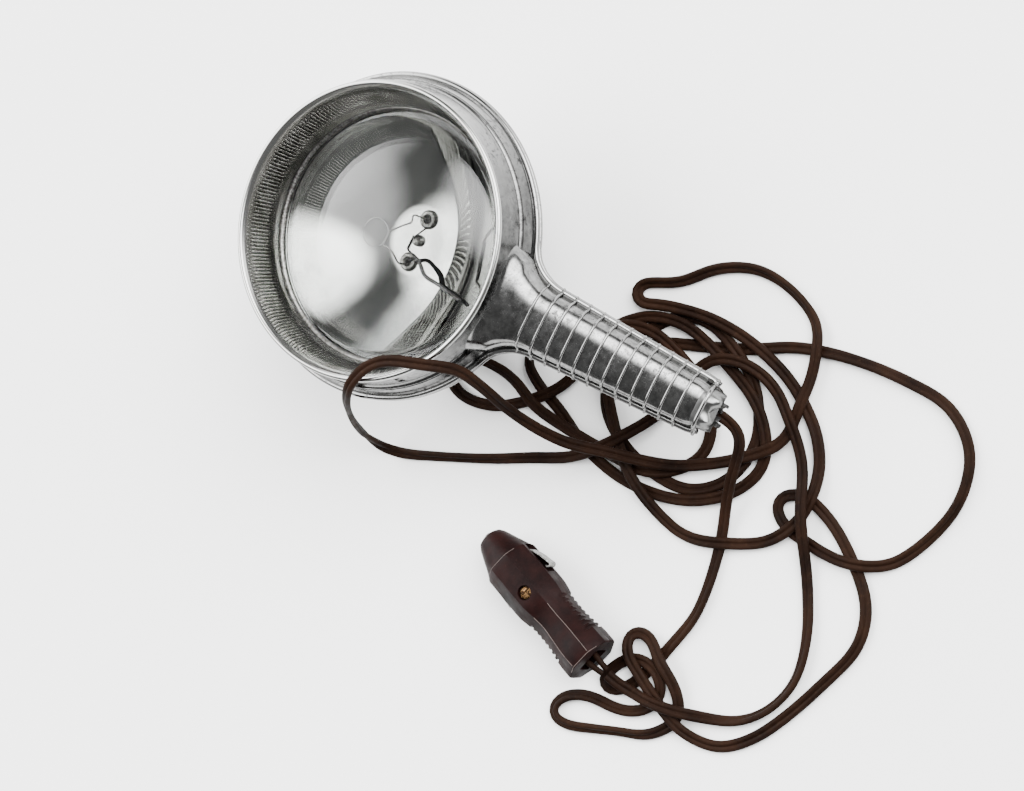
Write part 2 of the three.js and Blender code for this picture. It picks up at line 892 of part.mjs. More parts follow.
// The lead lies on the surface, and later stretches pass over earlier ones in low humps.
function laidCord(route) {
  const floor = CORD_R + 0.1;
  const points = route.map(([x, y, z = floor]) => new THREE.Vector3(x, y, Math.max(z, floor)));
  const curve = new THREE.CatmullRomCurve3(points, false, "centripetal");
  curve.arcLengthDivisions = 2000;
  const laid = curve.getSpacedPoints(Math.round(curve.getLength() / LAY_STEP));
  const pairs = crossings(laid, floor);
  const rise = laid.map(() => 0);
  const last = laid.length - 1;
  for (let round = 0; round < LAY_ROUNDS; round++) {
    for (const [lower, upper, step] of pairs) {
      rise[upper] = Math.max(rise[upper], rise[lower] + step);
    }
    for (let i = 1; i <= last; i++) rise[i] = Math.max(rise[i], rise[i - 1] - LAY_SLOPE * LAY_STEP);
    for (let i = last; i > 0; i--) rise[i - 1] = Math.max(rise[i - 1], rise[i] - LAY_SLOPE * LAY_STEP);
  }
  return laid.map((p, i) => [p.x, p.y, Math.max(p.z, floor) + rise[i]]);
}
const CORD_STEPS = 170;
add(part, "power_cord", wire(laidCord(CORD_ROUTE), CORD_R, CORD_STEPS), RUBBER);

// ---- the plug: two moulded halves on one screw ----
const plug = new THREE.Group();
plug.position.set(PLUG_TAIL[0], PLUG_TAIL[1], PLUG_Z);
plug.rotation.z = PLUG_TURN;
part.add(plug);

// [distance from the tail, half width, half height]
const PLUG_FORM = [
  [0, 10.2, 9.6],
  [5, 10.3, 9.9],
  [12, 9.7, 9],
  [16, 9.3, 8.6],
  [24, 9.4, 8.8],
  [27, 10.1, 9.8],
  [30, 10.5, 10.2],
  [49.5, 10.4, 10.1],
  [51, 10, 9.7],
  [PLUG_L - 2, 5.3, 5.2],
  [PLUG_L, 3.6, 3.5],
];
function plugRing([y, w, h], sides = 16) {
  const ring = [];
  for (let i = 0; i < sides; i++) {
    const a = ((i + 0.5) / sides) * 2 * Math.PI;
    const side = Math.PI / 4;
    const facet = ((a + side / 2) % side) - side / 2;
    const r = Math.min(1.06, 1 / Math.cos(facet)) * 0.985;
    ring.push([w * r * Math.cos(a), y, h * r * Math.sin(a)]);
  }
  return ring;
}
const cutAlongY = (y0, y1, r, sides) => rod([0, y0, 0], [0, y1, 0], r, r, sides);
const pinBore = cutAlongY(44, PLUG_L + 2, PIN_R + GAP, 18);
const chamber = cutAlongY(6, 47.2, 4.6, 18);
const tailMouth = block([-3.6, -3, -2.2], [3.6, 8, 2.2]);
let plugBody = loft(PLUG_FORM.map((form) => plugRing(form)))
  .subtract(pinBore)
  .subtract(chamber)
  .subtract(tailMouth);
for (const side of [-1, 1]) {
  const pocket = block([side > 0 ? 6.6 : -13, 35.6, -2.9], [side > 0 ? 13 : -6.6, 50, 2.9]);
  plugBody = plugBody.subtract(pocket);
}
const GRIPS = 7;
for (let i = 0; i < GRIPS; i++) {
  for (const side of [-1, 1]) {
    const y = 11 + i * 2.2;
    const groove = rod([side * 10.1, y, -12], [side * 10.1, y, 12], 0.75, 0.75, 8);
    plugBody = plugBody.subtract(groove);
  }
}
const screwHole = rod([0, PLUG_SCREW_Y, -20], [0, PLUG_SCREW_Y, 20], 1.6, 1.6, 14);
const headRecess = rod([0, PLUG_SCREW_Y, 7.6], [0, PLUG_SCREW_Y, 20], 2.7, 2.7, 24);
const nutRecess = rod([0, PLUG_SCREW_Y, -20], [0, PLUG_SCREW_Y, -7.4], 2.9, 2.9, 6);
plugBody = plugBody.subtract(screwHole).subtract(headRecess).subtract(nutRecess);
const upperHalf = block([-20, -5, GAP / 2], [20, 80, 20]);
const lowerHalf = block([-20, -5, -20], [20, 80, -GAP / 2]);
add(plug, "plug_upper_half", plugBody.intersect(upperHalf), BAKELITE);
add(plug, "plug_lower_half", plugBody.intersect(lowerHalf), BAKELITE);

const screwDriverSlot = block([-3, PLUG_SCREW_Y - 0.35, 8.6], [3, PLUG_SCREW_Y + 0.35, 12]);
const plugScrew = rod([0, PLUG_SCREW_Y, -9], [0, PLUG_SCREW_Y, 8], 1.25, 1.25, 14)
  .add(rod([0, PLUG_SCREW_Y, 7.6 + GAP], [0, PLUG_SCREW_Y, 9.3], 2.35, 2.1, 24))
  .subtract(screwDriverSlot);
add(plug, "plug_screw", plugScrew, BRASS);
const nut = rod([0, PLUG_SCREW_Y, -9.4], [0, PLUG_SCREW_Y, -7.4 - GAP], 2.5, 2.5, 6).subtract(
  rod([0, PLUG_SCREW_Y, -12], [0, PLUG_SCREW_Y, -6], 1.25 + GAP, 1.25 + GAP, 14),
);
add(plug, "plug_nut", nut, BRASS);

// Centre contact: a sprung brass pin with a shoulder behind the nose.
const pinNose = PLUG_L + PIN_PROUD;
const pin = cutAlongY(45.6, pinNose - 0.8, PIN_R, 16)
  .add(rod([0, pinNose - 0.8, 0], [0, pinNose, 0], PIN_R, 1.2, 16))
  .add(cutAlongY(44.2, 46.8, 3.4, 18));
add(plug, "center_contact", pin, STEEL);
const coil = [];
const COIL_TURNS = 4;
const COIL_POINTS = 10;
for (let i = 0; i <= COIL_TURNS * COIL_POINTS; i++) {
  const a = (i / COIL_POINTS) * 2 * Math.PI;
  const y = mix(37.9, 43.2, i / (COIL_TURNS * COIL_POINTS));
  coil.push([2.5 * Math.cos(a), y, 2.5 * Math.sin(a)]);
}
add(plug, "contact_spring", wire(coil, 0.4, COIL_TURNS * 12, 6), STEEL);

// Side contacts: bowed leaves, held at the nose end, with a curl at the free end.
for (const [name, side] of [
  ["side_contact_right", 1],
  ["side_contact_left", -1],
]) {
  const outline = [
    [7.2, LEAF_Y],
    [9.6, LEAF_Y - 1.2],
    [12.2, 38.8],
    [12.6, 37.4],
    [11.8, 36.5],
    [10.9, 37.3],
    [11.4, 37.6],
    [11.7, 38.6],
    [9.2, LEAF_Y - 2],
    [6.9, LEAF_Y - 0.8],
  ].map(([x, y]) => [side * x, y]);
  if (side < 0) outline.reverse();
  const leaf = plate(outline, 4.6);
  leaf.translate(0, 0, -2.3);
  if (side < 0) {
    leaf.translate(LEAF_PIVOT[0], -LEAF_PIVOT[1], 0);
    leaf.rotateZ(LEFT_LEAF_PRESSED);
    leaf.translate(-LEAF_PIVOT[0], LEAF_PIVOT[1], 0);
  }
  add(plug, name, solidOf(leaf), STEEL);
}

// Two cores leave the tail side by side and join as the flat lead.
for (const [i, side] of [-1, 1].entries()) {
  const core = wire(
    [
      [side * 3, 12, 0],
      [side * 2.2, 5, 0],
      [side * 2, 0, 0],
      [side * 1.6, -3.4, -0.9],
      [side * 1.45, -5.9, -2],
    ],
    CORE_R,
    12,
  );
  add(plug, `plug_core_${i + 1}`, core, RUBBER);
}

export default part;
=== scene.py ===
"""A chromed 12 volt hand-held spotlight with its flat twin lead and lighter plug.

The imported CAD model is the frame. Fine meshes stand in for its plain visible nodes.
Sizes are in millimetres until mesh_object() turns them into metres.
"""

import math

import bmesh
import bpy
import numpy as np
from mathutils import Matrix, Vector


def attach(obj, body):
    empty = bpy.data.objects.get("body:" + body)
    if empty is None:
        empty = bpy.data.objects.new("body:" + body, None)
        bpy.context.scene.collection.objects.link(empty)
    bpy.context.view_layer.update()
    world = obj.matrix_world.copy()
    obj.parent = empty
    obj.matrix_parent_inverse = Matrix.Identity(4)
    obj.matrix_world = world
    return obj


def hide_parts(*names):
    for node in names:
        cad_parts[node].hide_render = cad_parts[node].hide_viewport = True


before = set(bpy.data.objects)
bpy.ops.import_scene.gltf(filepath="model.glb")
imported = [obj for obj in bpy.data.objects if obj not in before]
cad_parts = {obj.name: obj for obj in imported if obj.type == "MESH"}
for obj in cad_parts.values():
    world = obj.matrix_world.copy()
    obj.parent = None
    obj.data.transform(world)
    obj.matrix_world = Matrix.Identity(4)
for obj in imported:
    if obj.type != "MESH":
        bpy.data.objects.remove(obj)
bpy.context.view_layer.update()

MM = 0.001

# ---- the head; heights are above the seam between the two shells ----
HEAD_Y = 40.5  # lamp axis
SEAM_Z = 52
RIM_R = 59.9  # the bead's line round the head
BEAD_IN = 1  # from the outline in to the bead's line
WALL_R = 54.7  # where the neck meets the drum
DRUM_TOP_R = 55
DRUM_H = 19.2
SLOT_TURN = math.radians(220)
SLOT_H = 14
SLOT_W = 2.3
SLOT_L = 5.3
BOWL_TOP = (57.5, -6.0)
BOWL_FOOT_R = 22.0
BOWL_BULGE = 4
SHEET = 1.2
THROAT_R = 47.5
FLUTES = 234
FLUTE_DEPTH = 0.6
POINTS_PER_FLUTE = 6
LAMP_R = 47
DOME_R = 45.5
DOME_H = 14
MIRROR_DEPTH = 19
MIRROR_FLAT_R = 12.5
FERRULE_X = 8.8
MARK_R = 5.3
ON_AXIS = 0.01  # a turned profile stops just short of its axis
PAIR = ((1, -1), (2, 1))  # the number and the side of each of two like pieces

# ---- the handle; places along Y are from the lamp axis ----
RAKE = math.radians(16)
BEND_Y = -58
NECK_Y = -70.6
END_Y = -134
TIP_ROUND = 4
TIP_TAPER = 0.7
NECK_HALF = 13.8
TIP_HALF = 11
NECK_CREST = 12.5
END_CREST = 10.5
NECK_BELLY = 11.5
END_BELLY = 9
FILLET_R = 17
FILLET_X = NECK_HALF + FILLET_R
FILLET_Y = -math.sqrt((RIM_R + FILLET_R + BEAD_IN) ** 2 - FILLET_X**2)
NECK_RISE = 6
NECK_HUMP = 4.2
NECK_FLARE = 10
ARCH_STEPS = 26
ARCH_POWER = 0.62
RAIL_W = 2.2
RAIL_OUT = 1.15
RAIL_HOLE_Y = -131.8
RIBS = 12
RIB_FIRST_Y = -65.5
RIB_STEP = 5.5
RIB_R = 0.54
BAND_R = 0.8
BAND_BACK = 1.9
FOLD_REACH = 6
LUG_STEPS = 13
LUG_HALF_THICK = 0.42

# ---- the lead and the plug ----
FLEX_W = 4.5
FLEX_T = 2.3
FLEX_ROLL = 1.0  # radians the flat lead may tip by where nothing crosses it
PLUG_TAIL = (-106.3, -89.2, 10.2)
PLUG_TURN = math.radians(-17.3)
PLUG_L = 63
PLUG_SCREW_Y = 34
PLUG_SIDES = 48
GRIP_GROOVES = 8
GRIP_FIRST_Y = 8.5
GRIP_STEP = 2.3
LEAF_Y = 48.5
LEAF_PIVOT = (7.3, 48.3)
LEAF_HALF_WIDTH = 2.3
LEFT_LEAF_PRESSED = math.radians(8)

# ---- camera: above the light, a little to its right, with the handle towards the right of the frame ----
CAMERA_AZIMUTH = math.radians(21.5)
CAMERA_ELEVATION = math.radians(62)
CAMERA_ROLL = math.radians(-83)
CAMERA_DISTANCE = 1.3
CAMERA_TARGET = Vector((-0.03876, -0.0063, 0))
CAMERA_LENS = 120.66


def make_camera():
    az, el, roll = CAMERA_AZIMUTH, CAMERA_ELEVATION, CAMERA_ROLL
    back = Vector((math.sin(az) * math.cos(el), -math.cos(az) * math.cos(el), math.sin(el)))
    level = Vector((math.cos(az), math.sin(az), 0))
    above = back.cross(level)
    right = level * math.cos(roll) + above * math.sin(roll)
    up = above * math.cos(roll) - level * math.sin(roll)
    data = bpy.data.cameras.new("camera")
    data.lens = CAMERA_LENS
    data.sensor_width = 36
    camera = bpy.data.objects.new("camera", data)
    turn = Matrix((right, up, back)).transposed().to_4x4()
    camera.matrix_world = Matrix.Translation(CAMERA_TARGET + back * CAMERA_DISTANCE) @ turn
    bpy.context.scene.collection.objects.link(camera)
    bpy.context.scene.camera = camera


make_camera()


# ---- materials ----
class Nodes:
    """A short way to write a node material."""

    def __init__(self, name):
        self.material = bpy.data.materials.new(name)
        self.material.use_nodes = True
        self.tree = self.material.node_tree
        self.shader = self.tree.nodes["Principled BSDF"]
        self.where = self.add("ShaderNodeTexCoord").outputs["Object"]

    def add(self, kind, **values):
        node = self.tree.nodes.new(kind)
        for key, value in values.items():
            setattr(node, key, value)
        return node

    def link(self, out, into):
        self.tree.links.new(out, into)

    def noise(self, scale, detail=4, rough=0.55, stretch=(1, 1, 1)):
        mapping = self.add("ShaderNodeMapping")
        mapping.inputs["Scale"].default_value = stretch
        self.link(self.where, mapping.inputs["Vector"])
        node = self.add("ShaderNodeTexNoise")
        node.inputs["Scale"].default_value = scale
        node.inputs["Detail"].default_value = detail
        node.inputs["Roughness"].default_value = rough
        self.link(mapping.outputs["Vector"], node.inputs["Vector"])
        return node.outputs["Fac"]

    def ramp(self, fac, *stops):
        node = self.add("ShaderNodeValToRGB")
        ramp = node.color_ramp
        while len(ramp.elements) < len(stops):
            ramp.elements.new(0.5)
        for element, (position, colour) in zip(ramp.elements, stops):
            element.position = position
            shade = (colour,) * 3 if isinstance(colour, (int, float)) else colour
            element.color = (*shade, 1)
        self.link(fac, node.inputs["Fac"])
        return node.outputs["Color"]

    def span(self, axis, start, end, top):
        """0 to `top` as one object coordinate goes from start to end, in metres."""
        parts = self.add("ShaderNodeSeparateXYZ")
        self.link(self.where, parts.inputs["Vector"])
        node = self.add("ShaderNodeMapRange")
        node.inputs["From Min"].default_value = start
        node.inputs["From Max"].default_value = end
        node.inputs["To Max"].default_value = top
        self.link(parts.outputs[axis], node.inputs["Value"])
        return node.outputs["Result"]

    def mix(self, fac, a, b, how="MIX"):
        node = self.add("ShaderNodeMix", data_type="RGBA", blend_type=how)
        for socket, value in ((node.inputs[0], fac), (node.inputs[6], a), (node.inputs[7], b)):
            if isinstance(value, bpy.types.NodeSocket):
                self.link(value, socket)
            elif isinstance(value, (int, float)) and socket == node.inputs[0]:
                socket.default_value = value
            else:
                socket.default_value = (*value, 1)
        return node.outputs[2]

    def bump(self, height, strength, distance):
        node = self.add("ShaderNodeBump")
        node.inputs["Strength"].default_value = strength
        node.inputs["Distance"].default_value = distance
        self.link(height, node.inputs["Height"])
        if self.shader.inputs["Normal"].links:
            self.link(self.shader.inputs["Normal"].links[0].from_socket, node.inputs["Normal"])
        self.link(node.outputs["Normal"], self.shader.inputs["Normal"])

    def set(self, **values):
        for key, value in values.items():
            socket = self.shader.inputs[key.replace("_", " ")]
            if isinstance(value, bpy.types.NodeSocket):
                self.link(value, socket)
            elif key == "Base_Color":
                socket.default_value = (*value, 1)
            else:
                socket.default_value = value


# over this span the plating darkens with mottled stain and painted shade, a dark reflection painted into
# the colour
SHADE_STAIN_FROM, SHADE_STAIN_TO = 0.030, -0.008  # Y in metres, over which the drum's plating gets darker
FUNNEL_TOP, CREST_FOOT = 0.0702, 0.0718  # Z in metres


def chrome(name, patina, rough, shine, stain_and_shade_end=0.0, stain=(0.22, 0.75)):
    """Old plating: cloudy tarnish and dark pits; the end argument darkens the side towards -Y, partly with
    mottled stain and partly with painted shade, a dark reflection painted into the colour.
    """
    m = Nodes(name)
    cloud = m.ramp(m.noise(70, 6, 0.75), (0.45, 0), (0.66, 1))
    pits = m.ramp(m.noise(560, 4, 0.7), (0.5, 0), (0.62, 1))
    dull = m.mix(cloud, (0, 0, 0), pits)
    low, high = shine * 0.82, shine
    tint = m.ramp(m.noise(70, 5, 0.6), (0.3, (low, low, low * 0.98)), (0.7, (high, high, high * 0.99)))
    tarnish = m.ramp(dull, (0, (1, 1, 1)), (1, (1 - patina,) * 3))
    colour = m.mix(1.0, tint, tarnish, "MULTIPLY")
    # painted shade and stain: the stain argument's ramp darkens the side towards -Y with mottled blotches,
    # partly stain and partly a painted dark reflection
    if stain_and_shade_end:
        stain_and_shade = m.ramp(m.noise(260, 5, 0.75), (0.36, stain[0]), (0.68, stain[1]))
        darker = m.mix(1.0, colour, stain_and_shade, "MULTIPLY")
        colour = m.mix(m.span("Y", SHADE_STAIN_FROM, SHADE_STAIN_TO, stain_and_shade_end), colour, darker)
    m.set(Metallic=1.0, Base_Color=colour)
    worn = m.ramp(cloud, (0, rough), (1, rough + 0.06))
    m.set(Roughness=m.mix(dull, worn, (0.38, 0.38, 0.38)))
    m.bump(m.noise(60, 2, 0.4), 0.05, 0.0004)
    return m.material


def fluted_chrome(name):
    """Lighter at the crest, darker and mottled down in the funnel."""
    m = Nodes(name)
    height = m.span("Z", FUNNEL_TOP, CREST_FOOT, 1.0)
    funnel = m.ramp(m.noise(90, 4, 0.6), (0.35, (0.17, 0.168, 0.155)), (0.65, (0.29, 0.287, 0.275)))
    m.set(Metallic=1.0, Base_Color=m.mix(height, funnel, (0.34, 0.34, 0.33)), Roughness=0.2)
    return m.material


def satin_metal(name, colour, rough, dirt):
    m = Nodes(name)
    stain = m.ramp(m.noise(1300, 4, 0.7), (0.46, dirt), (0.6, colour))
    m.set(Metallic=1.0, Base_Color=stain)
    m.set(Roughness=m.ramp(m.noise(500, 3), (0.3, rough), (0.7, rough + 0.2)))
    m.bump(m.noise(900, 4), 0.15, 0.0002)
    return m.material


def flex_material(name):
    """Brown flexible covering, rubbed and a little dusty."""
    m = Nodes(name)
    base = m.ramp(m.noise(60, 5, 0.6), (0.32, (0.0045, 0.002, 0.0012)), (0.72, (0.016, 0.0072, 0.004)))
    dust = m.ramp(m.noise(700, 4, 0.7), (0.56, 0), (0.8, 0.45))
    m.set(Base_Color=m.mix(dust, base, (0.035, 0.019, 0.011)))
    m.set(Roughness=m.ramp(m.noise(240, 3), (0.3, 0.5), (0.7, 0.72)))
    m.shader.inputs["Specular IOR Level"].default_value = 0.04
    m.bump(m.noise(1500, 3), 0.22, 0.0002)
    m.bump(m.noise(160, 3), 0.25, 0.0004)
    return m.material


def bakelite(name):
    """Dark brown moulding, rubbed pale at places, with fine pits."""
    m = Nodes(name)
    base = m.ramp(m.noise(110, 6, 0.65), (0.3, (0.0024, 0.0009, 0.0009)), (0.7, (0.011, 0.0034, 0.003)))
    pale = m.ramp(m.noise(520, 5, 0.75), (0.62, 0), (0.82, 0.5))
    m.set(Base_Color=m.mix(pale, base, (0.035, 0.02, 0.017)))
    m.set(Roughness=m.ramp(m.noise(200, 4), (0.3, 0.38), (0.7, 0.6)))
    m.shader.inputs["Specular IOR Level"].default_value = 0.05
    m.bump(m.noise(1300, 4), 0.18, 0.0002)
    return m.material


def dark_plastic(name, colour, rough):
    m = Nodes(name)
    m.set(Base_Color=m.ramp(m.noise(300, 4), (0.3, colour), (0.7, tuple(c * 1.8 + 0.004 for c in colour))))
    m.set(Roughness=m.ramp(m.noise(500, 3), (0.3, rough), (0.7, rough + 0.15)))
    m.bump(m.noise(1200, 3), 0.2, 0.0002)
    return m.material


def lamp_glass(name):
    m = Nodes(name)
    m.set(Base_Color=(0.93, 0.945, 0.935), IOR=1.36)
    m.shader.inputs["Transmission Weight"].default_value = 1.0
    m.set(Roughness=m.ramp(m.noise(140, 4, 0.7), (0.45, 0.0), (0.8, 0.03)))
    m.bump(m.noise(26, 2), 0.05, 0.0006)
    return m.material


def mirror(name):
    m = Nodes(name)
    m.set(Metallic=1.0)
    m.set(Base_Color=m.ramp(m.noise(20, 5, 0.6), (0.34, (0.15, 0.152, 0.152)), (0.62, (0.31, 0.31, 0.3))))
    m.set(Roughness=m.ramp(m.noise(60, 4), (0.4, 0.015), (0.8, 0.05)))
    m.bump(m.noise(17, 2, 0.4), 0.3, 0.0016)
    return m.material


def floor_material():
    m = Nodes("floor_white")
    m.set(Base_Color=m.ramp(m.noise(6, 3), (0.3, (0.93, 0.93, 0.93)), (0.7, (0.95, 0.95, 0.945))))
    m.set(Roughness=0.85)
    m.shader.inputs["Specular IOR Level"].default_value = 0.15
    return m.material


CHROME = chrome("chrome_worn", 0.6, 0.13, 0.36)
# the drum's and the handle's copies are darkened towards -Y, over all of the handle: partly mottled stain,
# partly painted shade
CHROME_DRUM = chrome("chrome_drum", 0.74, 0.17, 0.25, 0.9, (0.09, 0.42))
CHROME_HANDLE = chrome("chrome_handle", 0.74, 0.16, 0.34, 0.85)
CHROME_TRIM = chrome("chrome_trim", 0.5, 0.15, 0.24)
CHROME_FOLD = chrome("chrome_fold", 0.6, 0.3, 0.2)
CHROME_BEZEL = fluted_chrome("chrome_bezel")
GLASS = lamp_glass("lamp_glass")
MIRROR = mirror("silvered_mirror")
STEEL = satin_metal("plated_steel", (0.26, 0.26, 0.25), 0.3, (0.09, 0.087, 0.08))
LEAD_METAL = satin_metal("dull_lug", (0.12, 0.12, 0.123), 0.42, (0.045, 0.043, 0.04))
BRASS = satin_metal("old_brass", (0.2, 0.115, 0.05), 0.34, (0.014, 0.007, 0.004))
FLEX = flex_material("brown_flex")
BAKELITE = bakelite("brown_bakelite")
RUBBED = dark_plastic("rubbed_edge", (0.032, 0.021, 0.017), 0.5)
ETCHED = dark_plastic("etched_line", (0.10, 0.10, 0.10), 0.4)
BLACK = dark_plastic("black_plastic", (0.012, 0.012, 0.012), 0.35)
GASKET = dark_plastic("gasket_rubber", (0.02, 0.018, 0.015), 0.6)
# painted shade: a near-black put in holes and hollows where only shade is seen
PAINTED_SHADE = dark_plastic("painted_shade_black", (0.006, 0.0055, 0.005), 0.8)


# ---- mesh helpers ----
def mesh_data(name, verts, faces):
    """A welded mesh in metres, from millimetres, whose faces turn outwards."""
    data = bpy.data.meshes.new(name)
    data.from_pydata([tuple(c * MM for c in v) for v in verts], [], [tuple(f) for f in faces])
    data.validate()
    build = bmesh.new()
    build.from_mesh(data)
    bmesh.ops.remove_doubles(build, verts=build.verts, dist=1e-6)
    bmesh.ops.recalc_face_normals(build, faces=build.faces)
    build.to_mesh(data)
    build.free()
    return data


def mesh_object(name, verts, faces, material, body="light", slot=None, replaces=(), smooth=40):
    """A piece from millimetres; edges under `smooth` degrees shade smooth."""
    obj = bpy.data.objects.new(name, mesh_data(name, verts, faces))
    bpy.context.scene.collection.objects.link(obj)
    obj.data.materials.append(material)
    shade(obj, smooth)
    if body:
        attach(obj, body)
    if replaces:
        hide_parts(*replaces)
    return obj


def shade(obj, degrees):
    data = obj.data
    data.polygons.foreach_set("use_smooth", [True] * len(data.polygons))
    build = bmesh.new()
    build.from_mesh(data)
    limit = math.radians(degrees)
    for edge in build.edges:
        edge.smooth = len(edge.link_faces) == 2 and edge.calc_face_angle(0) < limit
    build.to_mesh(data)
    build.free()


def mix(a, b, t):
    return a + (b - a) * t


def grid_faces(rows, columns, closed_rows=False):
    faces = []
    for i in range(rows if closed_rows else rows - 1):
        for j in range(columns):
            a = i * columns + j
            b = i * columns + (j + 1) % columns
            c = (i + 1) % rows * columns + (j + 1) % columns
            d = (i + 1) % rows * columns + j
            faces.append((a, b, c, d))
    return faces


def turned(profile, segments=160, centre=(0, HEAD_Y)):
    """A closed profile of (radius, height above the seam), turned about the lamp axis."""
    verts = []
    for r, h in profile:
        for k in range(segments):
            a = 2 * math.pi * k / segments
            verts.append((centre[0] + r * math.cos(a), centre[1] + r * math.sin(a), SEAM_Z + h))
    return verts, grid_faces(len(profile), segments, closed_rows=True)


def swept(rings):
    """A skin through rings of points; the first and last ring are closed."""
    count = len(rings[0])
    verts = [p for ring in rings for p in ring]
    faces = grid_faces(len(rings), count)
    faces.append(tuple(range(count)))
    faces.append(tuple(len(verts) - count + j for j in reversed(range(count))))
    return verts, faces


def joined(*parts):
    verts, faces = [], []
    for some_verts, some_faces in parts:
        faces += [tuple(i + len(verts) for i in f) for f in some_faces]
        verts += list(some_verts)
    return verts, faces


def arc(cx, cy, r, start, end, steps):
    """Points on an arc, angles in degrees."""
    out = []
    for i in range(steps + 1):
        a = math.radians(start + (end - start) * i / steps)
        out.append((cx + r * math.cos(a), cy + r * math.sin(a)))
    return out


def smooth_path(points, step):
    """A centripetal Catmull-Rom curve through points, sampled evenly."""
    pts = [np.array(p, float) for p in points]
    dense = []
    for i in range(len(pts) - 1):
        p1, p2 = pts[i], pts[i + 1]
        p0 = pts[i - 1] if i else 2 * p1 - p2
        p3 = pts[i + 2] if i + 2 < len(pts) else 2 * p2 - p1
        d0, d1, d2 = (max(np.linalg.norm(b - a) ** 0.5, 1e-4) for a, b in ((p0, p1), (p1, p2), (p2, p3)))
        m1 = ((p1 - p0) / d0 - (p2 - p0) / (d0 + d1) + (p2 - p1) / d1) * d1
        m2 = ((p2 - p1) / d1 - (p3 - p1) / (d1 + d2) + (p3 - p2) / d2) * d1
        for t in np.linspace(0, 1, 16, endpoint=False):
            a = 2 * t**3 - 3 * t**2 + 1
            b = t**3 - 2 * t**2 + t
            dense.append(a * p1 + b * m1 + (1 - a) * p2 + (t**3 - t**2) * m2)
    dense.append(pts[-1])
    dense = np.array(dense)
    run = np.concatenate([[0], np.cumsum(np.linalg.norm(np.diff(dense, axis=0), axis=1))])
    count = max(2, round(run[-1] / step))
    at = np.linspace(0, run[-1], count + 1)
    return np.stack([np.interp(at, run, dense[:, k]) for k in range(3)], 1)


def circle(centre, radius, side, other, sides):
    """A ring of points about a centre, in the plane of two directions."""
    angles = [2 * math.pi * k / sides for k in range(sides)]
    return [tuple(centre + radius * (math.cos(a) * side + math.sin(a) * other)) for a in angles]


def wire(points, radius, step=0.8, sides=12):
    """A round wire through points, closed with flat ends."""
    path = smooth_path(points, step)
    tangents = np.gradient(path, axis=0)
    side = np.cross(tangents[0], (0.31, 0.17, 0.93))
    rings = []
    for p, t in zip(path, tangents):
        t = t / np.linalg.norm(t)
        side = side - t * side.dot(t)
        side = side / np.linalg.norm(side)
        rings.append(circle(p, radius, side, np.cross(t, side), sides))
    return swept(rings)


def apply_boolean(target, cutter_parts):
    """Cuts a closed part, in millimetres, out of an object."""
    cutter = bpy.data.objects.new("cutter", mesh_data("cutter", *cutter_parts))
    bpy.context.scene.collection.objects.link(cutter)
    modifier = target.modifiers.new("cut", "BOOLEAN")
    modifier.operation = "DIFFERENCE"
    modifier.solver = "EXACT"
    modifier.object = cutter
    bpy.context.view_layer.update()
    shape = target.evaluated_get(bpy.context.evaluated_depsgraph_get())
    result = bpy.data.meshes.new_from_object(shape)
    target.modifiers.clear()
    target.data = result
    bpy.data.objects.remove(cutter)


def box(low, high):
    (x0, y0, z0), (x1, y1, z1) = low, high
    ring = [(x0, z0), (x1, z0), (x1, z1), (x0, z1)]
    return swept([[(x, y0, z) for x, z in ring], [(x, y1, z) for x, z in ring]])


